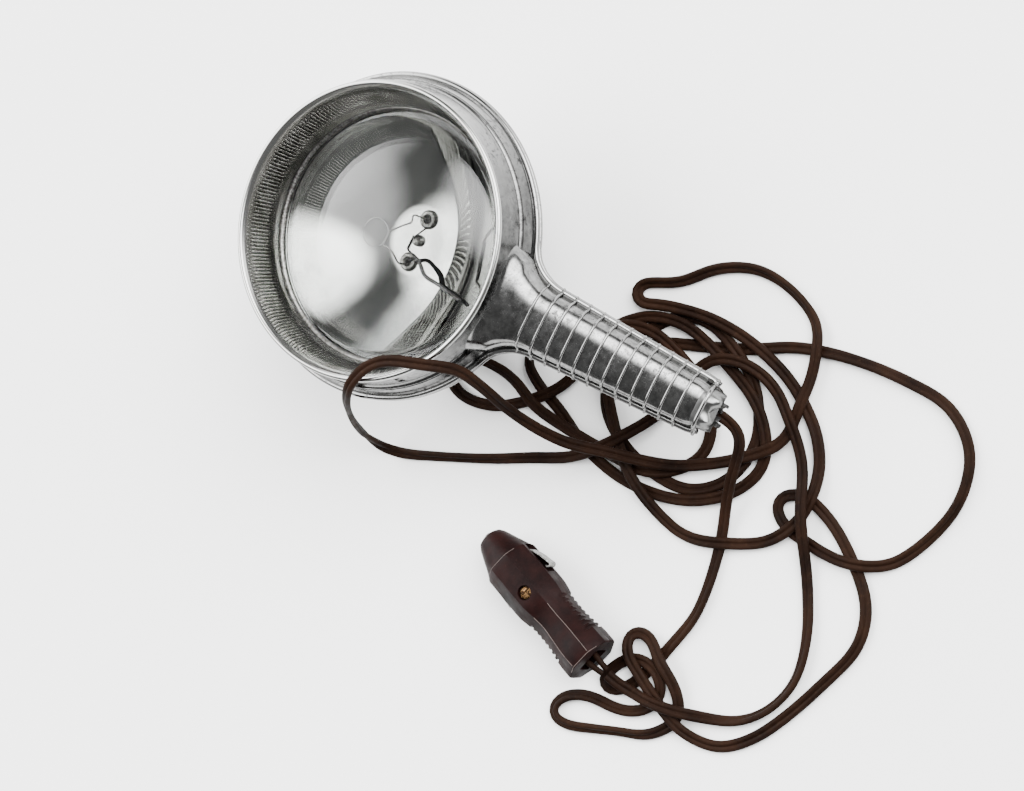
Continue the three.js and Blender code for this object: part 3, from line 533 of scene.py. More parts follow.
# ---- the flat twin lead ----
CORD_ROUTE = [
    (0, -76, 38), (0, -88, 33), (0, -98, 30.2), (-1, -103.5, 27.5), (-5, -106, 21), (-12, -106, 15),
    (-20, -105.5, 10.5), (-29, -106, 6), (-46, -110), (-60, -113), (-74, -114), (-87, -111),
    (-98, -108), (-108, -104), (-114.5, -98), (-113.5, -92.5), (-107, -94), (-100, -99),
    (-98, -109), (-105, -116), (-114, -113), (-119, -104), (-121, -90), (-127, -81), (-134, -80),
    (-135, -87), (-131, -97), (-126, -108), (-121, -119), (-110, -126), (-101, -121), (-94, -110),
    (-89, -102), (-91, -95), (-97, -96), (-102, -104), (-108, -116), (-113, -131), (-111, -145),
    (-102, -155), (-90, -162), (-70, -170), (-52, -175), (-38, -171), (-26, -158), (-17, -142),
    (-15, -129), (-21, -122), (-27, -127), (-29, -140), (-28, -156), (-21, -171), (-6, -180),
    (12, -184), (29, -179), (39, -165), (40, -146), (37, -122), (31, -102), (21, -84), (14, -68),
    (7, -52), (-3, -43), (-15, -40), (-25, -45), (-32, -56), (-36, -72), (-35, -88), (-27, -99),
    (-16, -104), (-5, -104), (5, -99), (13, -92), (20, -80), (23, -67), (20, -55), (11, -47),
    (-1, -38), (-9, -20), (-16, -8), (-23, -6), (-29, -14), (-34, -28), (-41, -44), (-44, -62),
    (-42, -80), (-36, -95), (-26, -106), (-14, -111), (-2, -107), (7, -97), (12, -84), (16, -72),
    (18, -58), (14, -44), (4, -33), (-12, -29), (-28, -23), (-38, -13), (-46, -1), (-48, 14),
    (-41, 23), (-34, 16), (-32, 3), (-33, -8), (-37, -21), (-38, -36), (-38, -54), (-37, -70),
    (-30, -82), (-20, -88), (-10, -86), (0, -77), (7, -63), (10, -48), (5, -35), (-5, -33),
    (-17, -42), (-29, -53), (-39, -65), (-47, -80), (-50, -96), (-44, -113), (-35, -127),
    (-22, -134), (-8, -133), (5, -126), (14, -115), (21, -101), (25, -84), (25, -67), (21, -49),
    (17, -37), (22, -34), (31, -49), (42, -60), (49, -75), (48, -92), (41, -106), (28, -112),
    (13, -114), (-2, -114), (-14, -103), (-24.5, -89, 2.5), (-29.5, -80, 5), (-33.5, -68, 9.5),
    (-36.5, -56, 15.5), (-39.4, -46, 19), (-39.2, -37, 27), (-36, -28.5, 41), (-31, -22, 56),
    (-28, -15.5, 67), (-29.3, -11, 73.5), (-32.4, -3, 76.8), (-35.2, 4.6, 77), (-39.8, 11.5, 77),
    (-45.1, 15, 77), (-51, 16.6, 77), (-57.5, 19.3, 70), (-65.7, 25.5, 52), (-73.3, 30.7, 32),
    (-78.7, 33.1, 14), (-81.2, 30.4, 4), (-79.5, 23), (-75, 12.8), (-64, -10), (-55, -26),
    (-46, -42), (-34, -54), (-22, -62), (-8, -68), (4, -71), (13, -77), (17, -89), (14, -103),
    (5, -116), (-7, -127), (-22, -135), (-40, -146), (-58, -156), (-75, -160), (-89, -156),
    (-99, -147), (-105, -133), (-109, -118), (-110, -106), (-109.6, -101, 5.6), (-108.2, -95.2, 7.9),
]
LAY_STEP = 2
LAY_APART = 22  # along the lead, between two stretches that can cross
LAY_PITCH = 2.7  # an upper stretch's rise over a lower one
LAY_REACH = 4.8  # in plan, from one centre line to the other where they touch
LAY_SLOPE = 0.3
LAY_ROUNDS = 40
LAY_CLEAR = 2  # a point this far above its resting height hangs
FLOOR_GAP = 0.05
ROLL_WAVES = (37, 23)
FLEX_LOBE = 152  # degrees of each lobe's outline, either way from its outer side
LEVEL_ENOUGH = 0.3


def laid_cord(route):
    """The lead lies flat on the floor, and later stretches pass over earlier ones in low humps."""
    floor = FLEX_T / 2 + FLOOR_GAP
    full = [(x, y, max(z[0], floor) if z else floor) for x, y, *z in route]
    path = smooth_path(full, LAY_STEP)
    path[:, 2] = np.maximum(path[:, 2], floor)
    on_floor = path[:, 2] < floor + LAY_CLEAR
    apart = LAY_APART // LAY_STEP
    pairs = []
    for i in np.nonzero(on_floor)[0]:
        gap = np.hypot(*(path[i + apart:, :2] - path[i, :2]).T)
        for k in np.nonzero((gap < LAY_REACH) & on_floor[i + apart:])[0]:
            rise = LAY_PITCH * math.sqrt(1 - (gap[k] / LAY_REACH) ** 4)
            pairs.append((i, i + apart + k, rise))
    lift = np.zeros(len(path))
    drop = LAY_SLOPE * LAY_STEP
    for _ in range(LAY_ROUNDS):
        for lower, upper, rise in pairs:
            lift[upper] = max(lift[upper], lift[lower] + rise)
        for i in range(1, len(path)):
            lift[i] = max(lift[i], lift[i - 1] - drop)
        for i in range(len(path) - 1, 0, -1):
            lift[i - 1] = max(lift[i - 1], lift[i] - drop)
    path[:, 2] += np.maximum(softened(lift, 4), lift * 0.9)
    for axis in range(3):
        path[:, axis] = softened(path[:, axis], 2)
    calm = np.ones(len(path))
    for lower, upper, _ in pairs:
        calm[[lower, upper]] = 0
    calm[~on_floor] = 0
    calm = np.minimum(softened(calm, 8), calm)
    run = np.arange(len(path)) * LAY_STEP
    wave = 0.5 + 0.5 * np.sin(run / ROLL_WAVES[0]) * np.cos(run / ROLL_WAVES[1])
    roll = softened(FLEX_ROLL * wave * calm, 6)
    path[:, 2] = np.maximum(path[:, 2], floor + (FLEX_W - FLEX_T) / 2 * np.sin(roll))
    return path, roll


def softened(values, reach):
    """Each value averaged with its neighbours."""
    width = 2 * reach + 1
    return np.convolve(np.pad(values, reach, mode="edge"), np.ones(width) / width, mode="valid")


def flex_section(steps=11):
    """One lobe of the twin flex, then its mirror, with a groove between them."""
    r = FLEX_T / 2
    lobe = arc(FLEX_W / 2 - r, 0, r, -FLEX_LOBE, FLEX_LOBE, steps)
    return lobe + [(-x, -z) for x, z in lobe]


def flex_sides(tangents):
    """Which way the flat lead's width points: level, and turning gently where the lead hangs."""
    sides = np.zeros_like(tangents)
    last = np.array((1.0, 0, 0))
    for i, t in enumerate(tangents):
        level = np.cross((0, 0, 1), t)
        if np.linalg.norm(level) > LEVEL_ENOUGH:
            last = level if level.dot(last) >= 0 else -level
            last = last / np.linalg.norm(last)
        sides[i] = last
    for axis in range(3):
        sides[:, axis] = softened(sides[:, axis], 7)
    sides -= tangents * (sides * tangents).sum(1)[:, None]
    return sides / np.linalg.norm(sides, axis=1)[:, None]


def flex_tube(path, roll):
    tangents = np.gradient(path, axis=0)
    tangents /= np.linalg.norm(tangents, axis=1)[:, None]
    section = flex_section()
    rings = []
    for p, t, side, tip in zip(path, tangents, flex_sides(tangents), roll):
        up = np.cross(t, side)
        side, up = side * math.cos(tip) + up * math.sin(tip), up * math.cos(tip) - side * math.sin(tip)
        rings.append([tuple(p + u * side + v * up) for u, v in section])
    return swept(rings)


cord_path, cord_roll = laid_cord(CORD_ROUTE)
cord_verts, cord_faces = flex_tube(cord_path, cord_roll)
cord = mesh_object("cord_flex", cord_verts, cord_faces, FLEX, slot="brown_flex",
                   replaces=["power_cord"], smooth=60)


# ---- the outline in plan: head, neck fillets and handle ----
def seam(y):
    """Height of the seam, which slopes down along the handle."""
    return SEAM_Z - max(0, BEND_Y - y) * math.tan(RAKE)


def half_width(y):
    """Half the handle's width over its rails, flaring into the head."""
    if y > FILLET_Y:
        across = min(y - FILLET_Y, FILLET_R * 0.98)
        return FILLET_X - math.sqrt(FILLET_R**2 - across**2)
    return mix(NECK_HALF, TIP_HALF, (FILLET_Y - y) / (FILLET_Y - END_Y)) - tip_taper(y)


def tip_taper(y):
    """How far the handle has drawn in, over its last few millimetres."""
    reach = max(0, (END_Y + TIP_ROUND - y) / TIP_ROUND)
    return TIP_TAPER * reach * reach


def along_handle(y):
    """0 at the neck and before it, 1 at the end."""
    return min(max((NECK_Y - y) / (NECK_Y - END_Y), 0), 1)


def crest(y):
    """Height of the handle's front over the seam."""
    return mix(NECK_CREST, END_CREST, along_handle(y)) - 0.8 * tip_taper(y)


def belly(y):
    """Depth of the handle's back under the seam."""
    return mix(NECK_BELLY, END_BELLY, along_handle(y)) - 0.8 * tip_taper(y)


def rim_path():
    """The bead's line all round: up one side of the handle, round the head, down the other."""
    right = []
    for i in range(40):
        y = mix(END_Y, FILLET_Y, i / 40)
        right.append((half_width(y) - BEAD_IN, y))
    tangent = math.degrees(math.atan2(-FILLET_Y, -FILLET_X))
    bend = arc(FILLET_X, FILLET_Y, FILLET_R + BEAD_IN, 180, tangent, 24)
    start = math.degrees(math.atan2(FILLET_Y, FILLET_X))
    round_head = arc(0, 0, RIM_R, start, 90, 120)
    half = right + bend + round_head[1:]
    return half + [(-x, y) for x, y in reversed(half[:-1])]


def rail_section(sign):
    """A rolled edge: rounded outside, flat at the seam, tucked into the wall."""
    bead = arc(0, 0.95, RAIL_OUT, -75, 120, 9)
    outline = [(-1.6, 0.12)] + [(x, max(z, 0.12)) for x, z in bead] + [(-1.6, 1.1)]
    return [(u, sign * v) for u, v in outline]


def rail(sign):
    path = np.array([(x, y, seam(y)) for x, y in rim_path()])
    flat = np.gradient(path[:, :2], axis=0)
    flat /= np.linalg.norm(flat, axis=1)[:, None]
    rings = []
    for (x, y, z), (tx, ty) in zip(path, flat):
        out = (ty, -tx)
        rings.append([(x + u * out[0], HEAD_Y + y + u * out[1], z + v) for u, v in rail_section(sign)])
    return swept(rings)


# ---- handle skins ----
TIP_ZONE = 8  # the end of the skin, made in finer steps
FIXED_POINT_ROUNDS = 12


def arch(half, rise, sign, proud=0.0):
    """A flat-topped arch from one rail to the other, as (x, height above the seam)."""
    points = []
    for i in range(ARCH_STEPS + 1):
        a = math.pi * i / ARCH_STEPS
        x = (half + proud) * math.copysign(abs(math.cos(a)) ** ARCH_POWER, math.cos(a))
        z = (rise + proud) * max(math.sin(a), 0) ** ARCH_POWER
        points.append((x, sign * z))
    return points


def neck_ring(t, sign, depth):
    """Rings from the drum's wall (t = 0) to the start of the straight handle (t = 1)."""
    half = NECK_HALF
    for _ in range(FIXED_POINT_ROUNDS):
        edge = (1 - t) * -math.sqrt(WALL_R**2 - half**2) + t * FILLET_Y
        half = min(half_width(edge) - RAIL_W, NECK_HALF + NECK_FLARE * (1 - t) ** 2)
    away = t * (-FILLET_Y - WALL_R)
    near = max(0, 1 - away / NECK_RISE)
    rise = depth + NECK_HUMP * (1 - math.sqrt(1 - near * near))
    ring = []
    for x, z in arch(half, rise, sign):
        y = (1 - t) * -math.sqrt(WALL_R**2 - x * x) + t * FILLET_Y
        ring.append((x, HEAD_Y + y, seam(y) + z))
    return ring


def handle_skin(sign):
    """One half of the handle's wall, from the drum to its end."""
    depth = crest if sign > 0 else belly
    rings = [neck_ring(i / 16, sign, depth(FILLET_Y)) for i in range(16)]
    ys = [mix(FILLET_Y, END_Y + TIP_ZONE, i / 30) for i in range(31)]
    ys += [mix(END_Y + TIP_ZONE, END_Y, i / 8) for i in range(1, 9)]
    for y in ys:
        ring = [(x, HEAD_Y + y, seam(y) + z) for x, z in arch(half_width(y) - RAIL_W, depth(y), sign)]
        rings.append(ring)
    return swept(rings)


def web(sign):
    """The flat flange between the beads and the handle's wall."""
    rings = []
    for i in range(40):
        y = HEAD_Y + mix(-WALL_R - 0.5, END_Y + 0.4, (i / 39) ** 1.4)
        half = half_width(y - HEAD_Y) - 0.7
        low, high = (seam(y - HEAD_Y) + sign * z for z in (0.14, 1.15))
        rings.append([(-half, y, low), (half, y, low), (half, y, high), (-half, y, high)])
    return swept(rings)


def ribs():
    """Raised lines across the handle that wrap down over the rails, and a thicker band at its end."""
    parts = []
    for i in range(RIBS + 1):
        band = i == RIBS
        y = RIB_FIRST_Y - i * RIB_STEP - (BAND_BACK if band else 0)
        half, rise = half_width(y) - RAIL_W, crest(y)
        if y > FILLET_Y:
            half = half_width(FILLET_Y) - RAIL_W + 0.15
        low_edge = [(half + 0.9, 2.4), (half + 1.9, 1.9), (half + 2.35, 0.7)]
        line = [(x, z) for x, z in reversed(low_edge)]
        line += [(x, z) for x, z in arch(half, rise, 1, 0.3) if z > 2.2]
        line += [(-x, z) for x, z in low_edge]
        lean, lift = math.sin(RAKE) * math.cos(RAKE), math.cos(RAKE) ** 2
        points = [(x, HEAD_Y + y - lean * z, seam(y) + lift * z) for x, z in line]
        parts.append(wire(points, BAND_R if band else RIB_R, 0.9, 10))
    return joined(*parts)


# ---- the two shells ----
def front_drum():
    profile = [(57.6, 0.15), (59.6, 0.15)]
    profile += [(59.4, 1.9), (58.9, 2.4), (58.5, 3.4), (57.6, 6.9)]
    profile += arc(56.3, 6.6, 1.1, 10, 75, 4)
    profile += [(56.1, 8.3), (55.9, 9.2), (55.3, 16), (DRUM_TOP_R, DRUM_H), (53.7, DRUM_H)]
    profile += [(54.9, 8), (57.2, 2)]
    return turned(profile)


def back_bowl():
    """A shallow bulging cone, down to the flat disc that the head rests on."""
    top, foot = np.array(BOWL_TOP), np.array((BOWL_FOOT_R, -SEAM_Z))
    chord = top - foot
    outward = np.array((chord[1], -chord[0])) / np.linalg.norm(chord)
    outer = []
    for i in range(25):
        t = i / 24
        outer.append(tuple(top - chord * t + outward * 4 * BOWL_BULGE * t * (1 - t)))
    inner = [(r - SHEET * outward[0], h - SHEET * outward[1]) for r, h in reversed(outer)]
    profile = [(59.6, -0.15), (59.4, -1.9), (58, -2.6), (57.6, -4)] + outer
    profile += [(ON_AXIS, -SEAM_Z), (ON_AXIS, SHEET - SEAM_Z)] + inner + [(56.4, -2), (57.4, -0.15)]
    return turned(profile)


def slot_box(inner, outer, half_wide, half_high):
    """A box between two radii, round the middle of the slot in the drum's wall."""
    middle = SEAM_Z + SLOT_H
    verts, faces = box((inner, -half_wide, middle - half_high), (outer, half_wide, middle + half_high))
    c, s = math.cos(SLOT_TURN), math.sin(SLOT_TURN)
    return [(r * c - u * s, HEAD_Y + r * s + u * c, z) for r, u, z in verts], faces


mesh_object("handle_front", *joined(handle_skin(1), web(1)), CHROME_HANDLE, slot="chrome_plate", smooth=35)
mesh_object("slot_shadow", *slot_box(53.6, 53.8, 1.6, 3.2), PAINTED_SHADE, slot="black_plastic", smooth=30)
drum = mesh_object("front_shell_skin", *front_drum(), CHROME_DRUM, slot="chrome_plate",
                   replaces=["front_shell"], smooth=35)
apply_boolean(drum, slot_box(52.5, 58, SLOT_W / 2, SLOT_L / 2))
shade(drum, 35)
mesh_object("front_trim", *joined(rail(1), ribs()), CHROME_TRIM, slot="chrome_plate", smooth=40)
mesh_object("back_trim", *rail(-1), CHROME_TRIM, slot="chrome_plate", smooth=40)
back_parts = joined(back_bowl(), handle_skin(-1), web(-1))
mesh_object("back_shell_skin", *back_parts, CHROME, slot="chrome_plate",
            replaces=["back_shell"], smooth=35)


def rail_hole_shade():
    """Painted shade for a hole in the right-hand edge, near the handle's end: a dark insert where the
    hole's inside shows.
    """
    x, y = half_width(RAIL_HOLE_Y) - 1.3, HEAD_Y + RAIL_HOLE_Y
    rings = []
    for height in (0.4, 2.36):
        outline = arc(0, 0, 1, 0, 342, 19)
        z = seam(RAIL_HOLE_Y) + height
        rings.append([(x + 0.7 * c, y + 1.25 * s, z + 0.36 * s) for c, s in outline])
    return swept(rings)


mesh_object("rail_keyhole_shade", *rail_hole_shade(), PAINTED_SHADE, slot="black_plastic", smooth=30)


# ---- bezel with its flutes ----
def bezel():
    """A rolled crest outside, and a funnel of fine flutes that runs down to the glass."""
    crest_line = arc(54.3, 19.9, 1.15, -20, 160, 10)
    profile = [(r, h, 0) for r, h in crest_line]
    profile += [(52.9, 20.0, 0), (52.5, 19.3, 0)]
    for i in range(9):
        t = i / 8
        profile.append((mix(52.2, 48.6, t), mix(18.7, 7.4, t), FLUTE_DEPTH if 0 < i < 8 else 0))
    profile += [(48.3, 6.6, 0), (48.2, 5.6, 0), (47.6, 4.8, 0), (THROAT_R, 3.4, 0), (48.9, 3.4, 0)]
    profile += [(50.2, 7, 0), (53.4, 17.5, 0), (53.4, 19.4, 0)]
    segments = FLUTES * POINTS_PER_FLUTE
    verts = []
    for r, h, depth in profile:
        for k in range(segments):
            a = 2 * math.pi * k / segments
            wave = depth * abs(math.cos(math.pi * k / POINTS_PER_FLUTE))
            verts.append(((r - wave) * math.cos(a), HEAD_Y + (r - wave) * math.sin(a), SEAM_Z + h))
    return verts, grid_faces(len(profile), segments, closed_rows=True)


mesh_object("bezel_flutes", *bezel(), CHROME_BEZEL, slot="chrome_plate",
            replaces=["bezel_ring"], smooth=50)


# ---- the sealed lamp ----
def dome(r, low, high, steps):
    rise = high - low
    sphere = (r * r + rise * rise) / (2 * rise)
    line = []
    for i in range(steps + 1):
        x = max(r * i / steps, ON_AXIS)
        line.append((x, low + math.sqrt(sphere**2 - x * x) - (sphere - rise)))
    return line


def lens():
    inner = dome(DOME_R - 1.6, -0.1, DOME_H - 1.8, 24)
    outer = dome(DOME_R, 1.6, DOME_H, 24)
    rim = [(DOME_R + 0.6, 1.2), (LAMP_R, 1.4), (LAMP_R, -0.1)]
    return turned(inner + rim[::-1] + outer[::-1], 128)


def mirror_line(thickness, steps=22):
    """Half a parabola from the flat middle to the lamp's rim, moved out by the glass's thickness."""
    line = []
    for i in range(steps + 1):
        r = mix(MIRROR_FLAT_R, LAMP_R, i / steps)
        share = (r * r - MIRROR_FLAT_R**2) / (LAMP_R**2 - MIRROR_FLAT_R**2)
        line.append((r + thickness * 0.5, (MIRROR_DEPTH - 0.8) * share - MIRROR_DEPTH - thickness))
    return line


def reflector():
    inside = mirror_line(0)
    outside = mirror_line(1.4)
    floor_line = [(ON_AXIS, -MIRROR_DEPTH), (10, -MIRROR_DEPTH)]
    under = [(ON_AXIS, -MIRROR_DEPTH - 2)]
    return turned(floor_line + inside + [(49, -0.4), (49, -2)] + outside[::-1] + under, 160)


def lamp_rim():
    """The lamp's own rolled seal inside the throat."""
    profile = arc(47.6, 1.9, 1.3, 200, -20, 8) + [(49.4, 0.3), (46.6, 0.3)]
    return turned(profile, 160)


mesh_object("lens_glass", *lens(), GLASS, slot="lamp_glass", replaces=["lamp_lens"], smooth=60)
mesh_object("reflector_bowl", *reflector(), MIRROR, slot="reflector_mirror",
            replaces=["lamp_reflector"], smooth=60)
mesh_object("lamp_seal", *lamp_rim(), STEEL, slot="plated_steel", smooth=60)
mark = turned(arc(MARK_R, DOME_H - 0.2, 0.16, 0, 360, 8)[:-1], 64)
mesh_object("lens_ring_mark", *mark, ETCHED, slot="lamp_glass", smooth=80)


def ferrule(side):
    x = side * FERRULE_X
    low = -MIRROR_DEPTH
    profile = [(1.5, low + 0.2), (1.6, low + 1.2), (2.0, low + 1.5), (2.9, low + 1.4), (3.6, low + 0.6)]
    profile += [(3.7, low - 0.4), (2.4, low - 0.6), (2.3, low - 3.2), (1.0, low - 3.2), (1.0, low - 2)]
    return turned(profile, 48, (x, HEAD_Y))


def over_lamp(points):
    """From places about the lamp axis to the row frame."""
    return [(x, y + HEAD_Y, z) for x, y, z in points]


def inner_wires():
    """The two support wires, the stay and the coil between the supports."""
    stay = [
        (-7.4, -1.6, 36), (-5.6, -4.7, 37.5), (-6.7, -8, 38.5), (-9.1, -11.7, 39), (-9.3, -20, 40.5),
        (-9.7, -31.9, 43.5),
    ]
    left = [
        (-8.8, 0, 32.4), (-9.8, 0.2, 35), (-10.4, 1.2, 37.6), (-8.8, 2.8, 39.4), (-7.2, 4.4, 41),
        (-6.6, 7.9, 42.6),
    ]
    right = [
        (8.8, 0, 32.4), (8.6, 1.6, 36), (8.2, 3.8, 38.4), (5.8, 2.6, 39.8), (3.2, 4.6, 41.2),
        (-0.6, 7.4, 42.6),
    ]
    coil = []
    for i in range(120):
        a = i * 0.9
        coil.append((mix(-6.4, -0.8, i / 119), 7.9 + 0.45 * math.cos(a), 42.4 + 0.45 * math.sin(a)))
    supports = [wire(over_lamp(line), 0.34) for line in (left, right)]
    return *supports, wire(over_lamp(stay), 0.75, 0.8, 14), wire(over_lamp(coil), 0.16, 0.35, 6)


left_lead, right_lead, stay_wire, coil_wire = inner_wires()
mesh_object("lead_wire_left", *left_lead, STEEL, slot="plated_steel", replaces=["lead_wire_1"], smooth=60)
mesh_object("lead_wire_right", *right_lead, STEEL, slot="plated_steel", replaces=["lead_wire_2"], smooth=60)
mesh_object("stay_wire", *stay_wire, LEAD_METAL, slot="plated_steel", replaces=["shield_stay"], smooth=60)
mesh_object("coil_filament", *coil_wire, STEEL, slot="plated_steel", replaces=["filament"], smooth=80)
# painted shade: a dark disc down in each ferrule's bore
bore_shade_line = [(r, h - MIRROR_DEPTH) for r, h in ((ON_AXIS, 0.95), (2.3, 0.95), (2.3, 1.3), (ON_AXIS, 1.3))]
for number, side in PAIR:
    mesh_object(f"ferrule_{number}", *ferrule(side), STEEL, slot="plated_steel",
                replaces=[f"lamp_ferrule_{number}"], smooth=40)
for number, side in PAIR:
    bore = turned(bore_shade_line, 32, (side * FERRULE_X, HEAD_Y))
    mesh_object(f"ferrule_bore_shade_{number}", *bore, PAINTED_SHADE, slot="black_plastic", smooth=30)
tip_line = [(ON_AXIS, 0.8), (0.8, 1), (1.7, 1.6), (2.2, 1.1), (2.3, -0.4), (ON_AXIS, -0.4)]
tip_profile = [(r, h - MIRROR_DEPTH) for r, h in tip_line]
mesh_object("exhaust_tip", *turned(tip_profile, 40), STEEL, slot="plated_steel", smooth=40)


# ---- the handle's open end ----
def crumpled_end():
    """The end of the front shell folded in over the mouth, dented and uneven."""
    rings = []
    for i in range(13):
        t = i / 12
        ring = []
        for x, z in arch(half_width(END_Y) - RAIL_W - 0.2, crest(END_Y), 1):
            narrow = 1 - 0.14 * t * t
            low = 1 - 0.4 * t**1.5
            dent = 0.9 * math.sin(x * 0.7 + 1.1) * t + 0.5 * math.sin(z * 1.4 + x * 0.9) * t
            y = END_Y + 0.3 - FOLD_REACH * math.sin(t * math.pi / 2) + dent
            crease = 0.8 * math.sin(x * 0.75 - 3.5 * t) * t + 0.35 * math.sin(x * 1.9 + 4 * t) * t
            ring.append((x * narrow, HEAD_Y + y, seam(END_Y) + z * low + 0.3 + crease))
        rings.append(ring)
    return swept(rings)


def mouth_shade_sheet():
    """Painted shade: a dark sheet for the inside that shows at the end, under the fold."""
    rings = []
    for y, scale in ((END_Y + 3, 0.8), (END_Y - 0.9, 0.84)):
        line = arch(half_width(END_Y) - RAIL_W, belly(END_Y), -1)
        rings.append([(x * scale, HEAD_Y + y, seam(y) + z * scale - 0.2) for x, z in line])
    return swept(rings)


def lug(x, reach, turn):
    """A flat grey lug rolled over the lead."""
    bend = arc(0, 0, 1, -60, 175, LUG_STEPS)
    points = [(x + turn * 1.56 * c, 2.5 * s + 1.2) for c, s in bend]
    y = END_Y - reach
    rings = []
    for i, (px, pz) in enumerate(points):
        before, after = points[max(i - 1, 0)], points[min(i + 1, LUG_STEPS)]
        dx, dz = after[0] - before[0], after[1] - before[1]
        size = math.hypot(dx, dz) / LUG_HALF_THICK
        half = mix(2.6, 1.7, abs(i / LUG_STEPS - 0.4))
        ring = []
        for sx, sy in ((1, -1), (1, 1), (-1, 1), (-1, -1)):
            ring.append((px - sx * dz / size, HEAD_Y + y + sy * half, seam(y) + pz + sx * dx / size))
        rings.append(ring)
    return swept(rings)


mesh_object("end_fold", *crumpled_end(), CHROME_FOLD, slot="chrome_plate", smooth=45)
mesh_object("mouth_painted_shade", *mouth_shade_sheet(), PAINTED_SHADE, slot="black_plastic", smooth=30)
mesh_object("clamp_lugs", *joined(lug(-2.6, 4.6, -1), lug(2.6, 4.2, 1)), LEAD_METAL,
            slot="plated_steel", replaces=["cord_clamp"], smooth=60)


# ---- the plug ----
def plug_point(x, y, z):
    """From the plug's own frame, with Y from tail to nose, to the row frame."""
    c, s = math.cos(PLUG_TURN), math.sin(PLUG_TURN)
    return (PLUG_TAIL[0] + x * c - y * s, PLUG_TAIL[1] + x * s + y * c, PLUG_TAIL[2] + z)


def placed(part):
    verts, faces = part
    return [plug_point(*v) for v in verts], faces


# distance from the tail, half width, half height
PLUG_FORM = [
    (0, 10.0, 9.4), (0.6, 10.3, 9.7), (5, 10.3, 9.9), (9, 10.0, 9.4), (12, 9.6, 9.0), (16, 9.2, 8.5),
    (20, 9.1, 8.4), (24, 9.3, 8.7), (27, 9.9, 9.5), (30, 10.4, 10.15), (33, 10.5, 10.2),
    (49, 10.4, 10.1), (49.8, 10.2, 9.9), (50.4, 9.9, 9.6), (60.5, 6.0, 5.9), (62.2, 4.9, 4.8),
    (PLUG_L, 3.5, 3.4),
]


def facet_radius(a, roundness):
    """1 on an eight-sided outline's flats, softened towards a circle by roundness."""
    eighth = math.pi / 4
    off = (a + eighth / 2) % eighth - eighth / 2
    return mix(min(1 / math.cos(off), 1.07), 1.03, roundness) * 0.975


def plug_ring(y, w, h, sign):
    """Half the plug's outline at one place along it; the nose is round."""
    ring = []
    round_nose = min(max((y - 49.5) / 2, 0), 1)
    for i in range(PLUG_SIDES // 2 + 1):
        a = math.pi * i / (PLUG_SIDES // 2)
        r = facet_radius(a, round_nose)
        ring.append((w * r * math.cos(a), y, sign * (h * r * math.sin(a) + 0.06)))
    return ring


def cylinder(start, end, r0, r1, sides=32):
    """A rod between two points of the plug's frame."""
    a, b = np.array(start, float), np.array(end, float)
    t = (b - a) / np.linalg.norm(b - a)
    side = np.cross(t, (0.2, 0.3, 0.93))
    side /= np.linalg.norm(side)
    return swept([circle(p, r, side, np.cross(t, side), sides) for p, r in ((a, r0), (b, r1))])


def plug_cuts(sign):
    """The screw's recess, the tail's mouth, the pin's bore, the leaves' slots and the grip's grooves."""
    cuts = [cylinder((0, PLUG_SCREW_Y, sign * 7.6), (0, PLUG_SCREW_Y, sign * 14), 2.75, 2.9)]
    cuts.append(box((-5.2, -3, -3.6), (5.2, 6.5, 3.6)))
    cuts.append(cylinder((0, 44, 0), (0, PLUG_L + 3, 0), 2.4, 2.4))
    for side in (-1, 1):
        near, far = sorted((side * 6.6, side * 13))
        cuts.append(box((near, 35.6, -2.9), (far, 50, 2.9)))
        for i in range(GRIP_GROOVES):
            y = GRIP_FIRST_Y + i * GRIP_STEP
            cuts.append(cylinder((side * 10.9, y, -sign), (side * 7.4, y, sign * 8.2), 0.85, 0.85, 14))
    return cuts


def plug_half(sign):
    form = []
    for (y0, w0, h0), (y1, w1, h1) in zip(PLUG_FORM, PLUG_FORM[1:]):
        steps = max(1, round((y1 - y0) / 2))
        for k in range(steps):
            form.append((mix(y0, y1, k / steps), mix(w0, w1, k / steps), mix(h0, h1, k / steps)))
    form.append(PLUG_FORM[-1])
    shell = placed(swept([plug_ring(y, w, h, sign) for y, w, h in form]))
    name = "plug_top" if sign > 0 else "plug_bottom"
    half = mesh_object(name, *shell, BAKELITE, body=None, smooth=28)
    for cut in plug_cuts(sign):
        apply_boolean(half, placed(cut))
    shade(half, 28)
    bevel = half.modifiers.new("soft_edges", "BEVEL")
    bevel.width = 0.00022
    bevel.segments = 2
    bevel.limit_method = "ANGLE"
    bevel.angle_limit = math.radians(25)
    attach(half, "light")
    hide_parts("plug_upper_half" if sign > 0 else "plug_lower_half")
    return half


def height_at(y):
    """Height of the plug's top facet."""
    for (y0, _, h0), (y1, _, h1) in zip(PLUG_FORM, PLUG_FORM[1:]):
        if y0 <= y <= y1:
            return mix(h0, h1, (y - y0) / (y1 - y0)) * 0.975
    return 0


def raised_edges():
    """Rubbed mould lines on the upper half: along the top facet, across the tail and the nose."""
    parts = []
    for side in (-1, 1):
        line = []
        for y, reach in ((1, 4.1), (8, 4.15), (14, 3.9), (20, 3.6), (25, 3.9)):
            line.append((side * reach, y, height_at(y) + 0.05))
        parts.append(wire(line, 0.13, 0.7, 8))
    for y, w, h in ((0.4, 10.2, 9.6), (50.1, 10.05, 9.75)):
        ring = [(x, y, z) for x, _, z in plug_ring(y, w, h, 1)[6:-6]]
        parts.append(wire(ring, 0.13, 0.7, 8))
    return joined(*parts)


plug_halves = [plug_half(1), plug_half(-1)]
plug_ridges = mesh_object("plug_ridges", *placed(raised_edges()), RUBBED, slot="bakelite", smooth=60)


def plug_screw():
    head = cylinder((0, PLUG_SCREW_Y, 7.7), (0, PLUG_SCREW_Y, 8.9), 2.45, 2.35, 40)
    cap = cylinder((0, PLUG_SCREW_Y, 8.9), (0, PLUG_SCREW_Y, 9.25), 2.35, 1.5, 40)
    shank = cylinder((0, PLUG_SCREW_Y, -9), (0, PLUG_SCREW_Y, 7.7), 1.25, 1.25, 20)
    return joined(head, cap, shank)


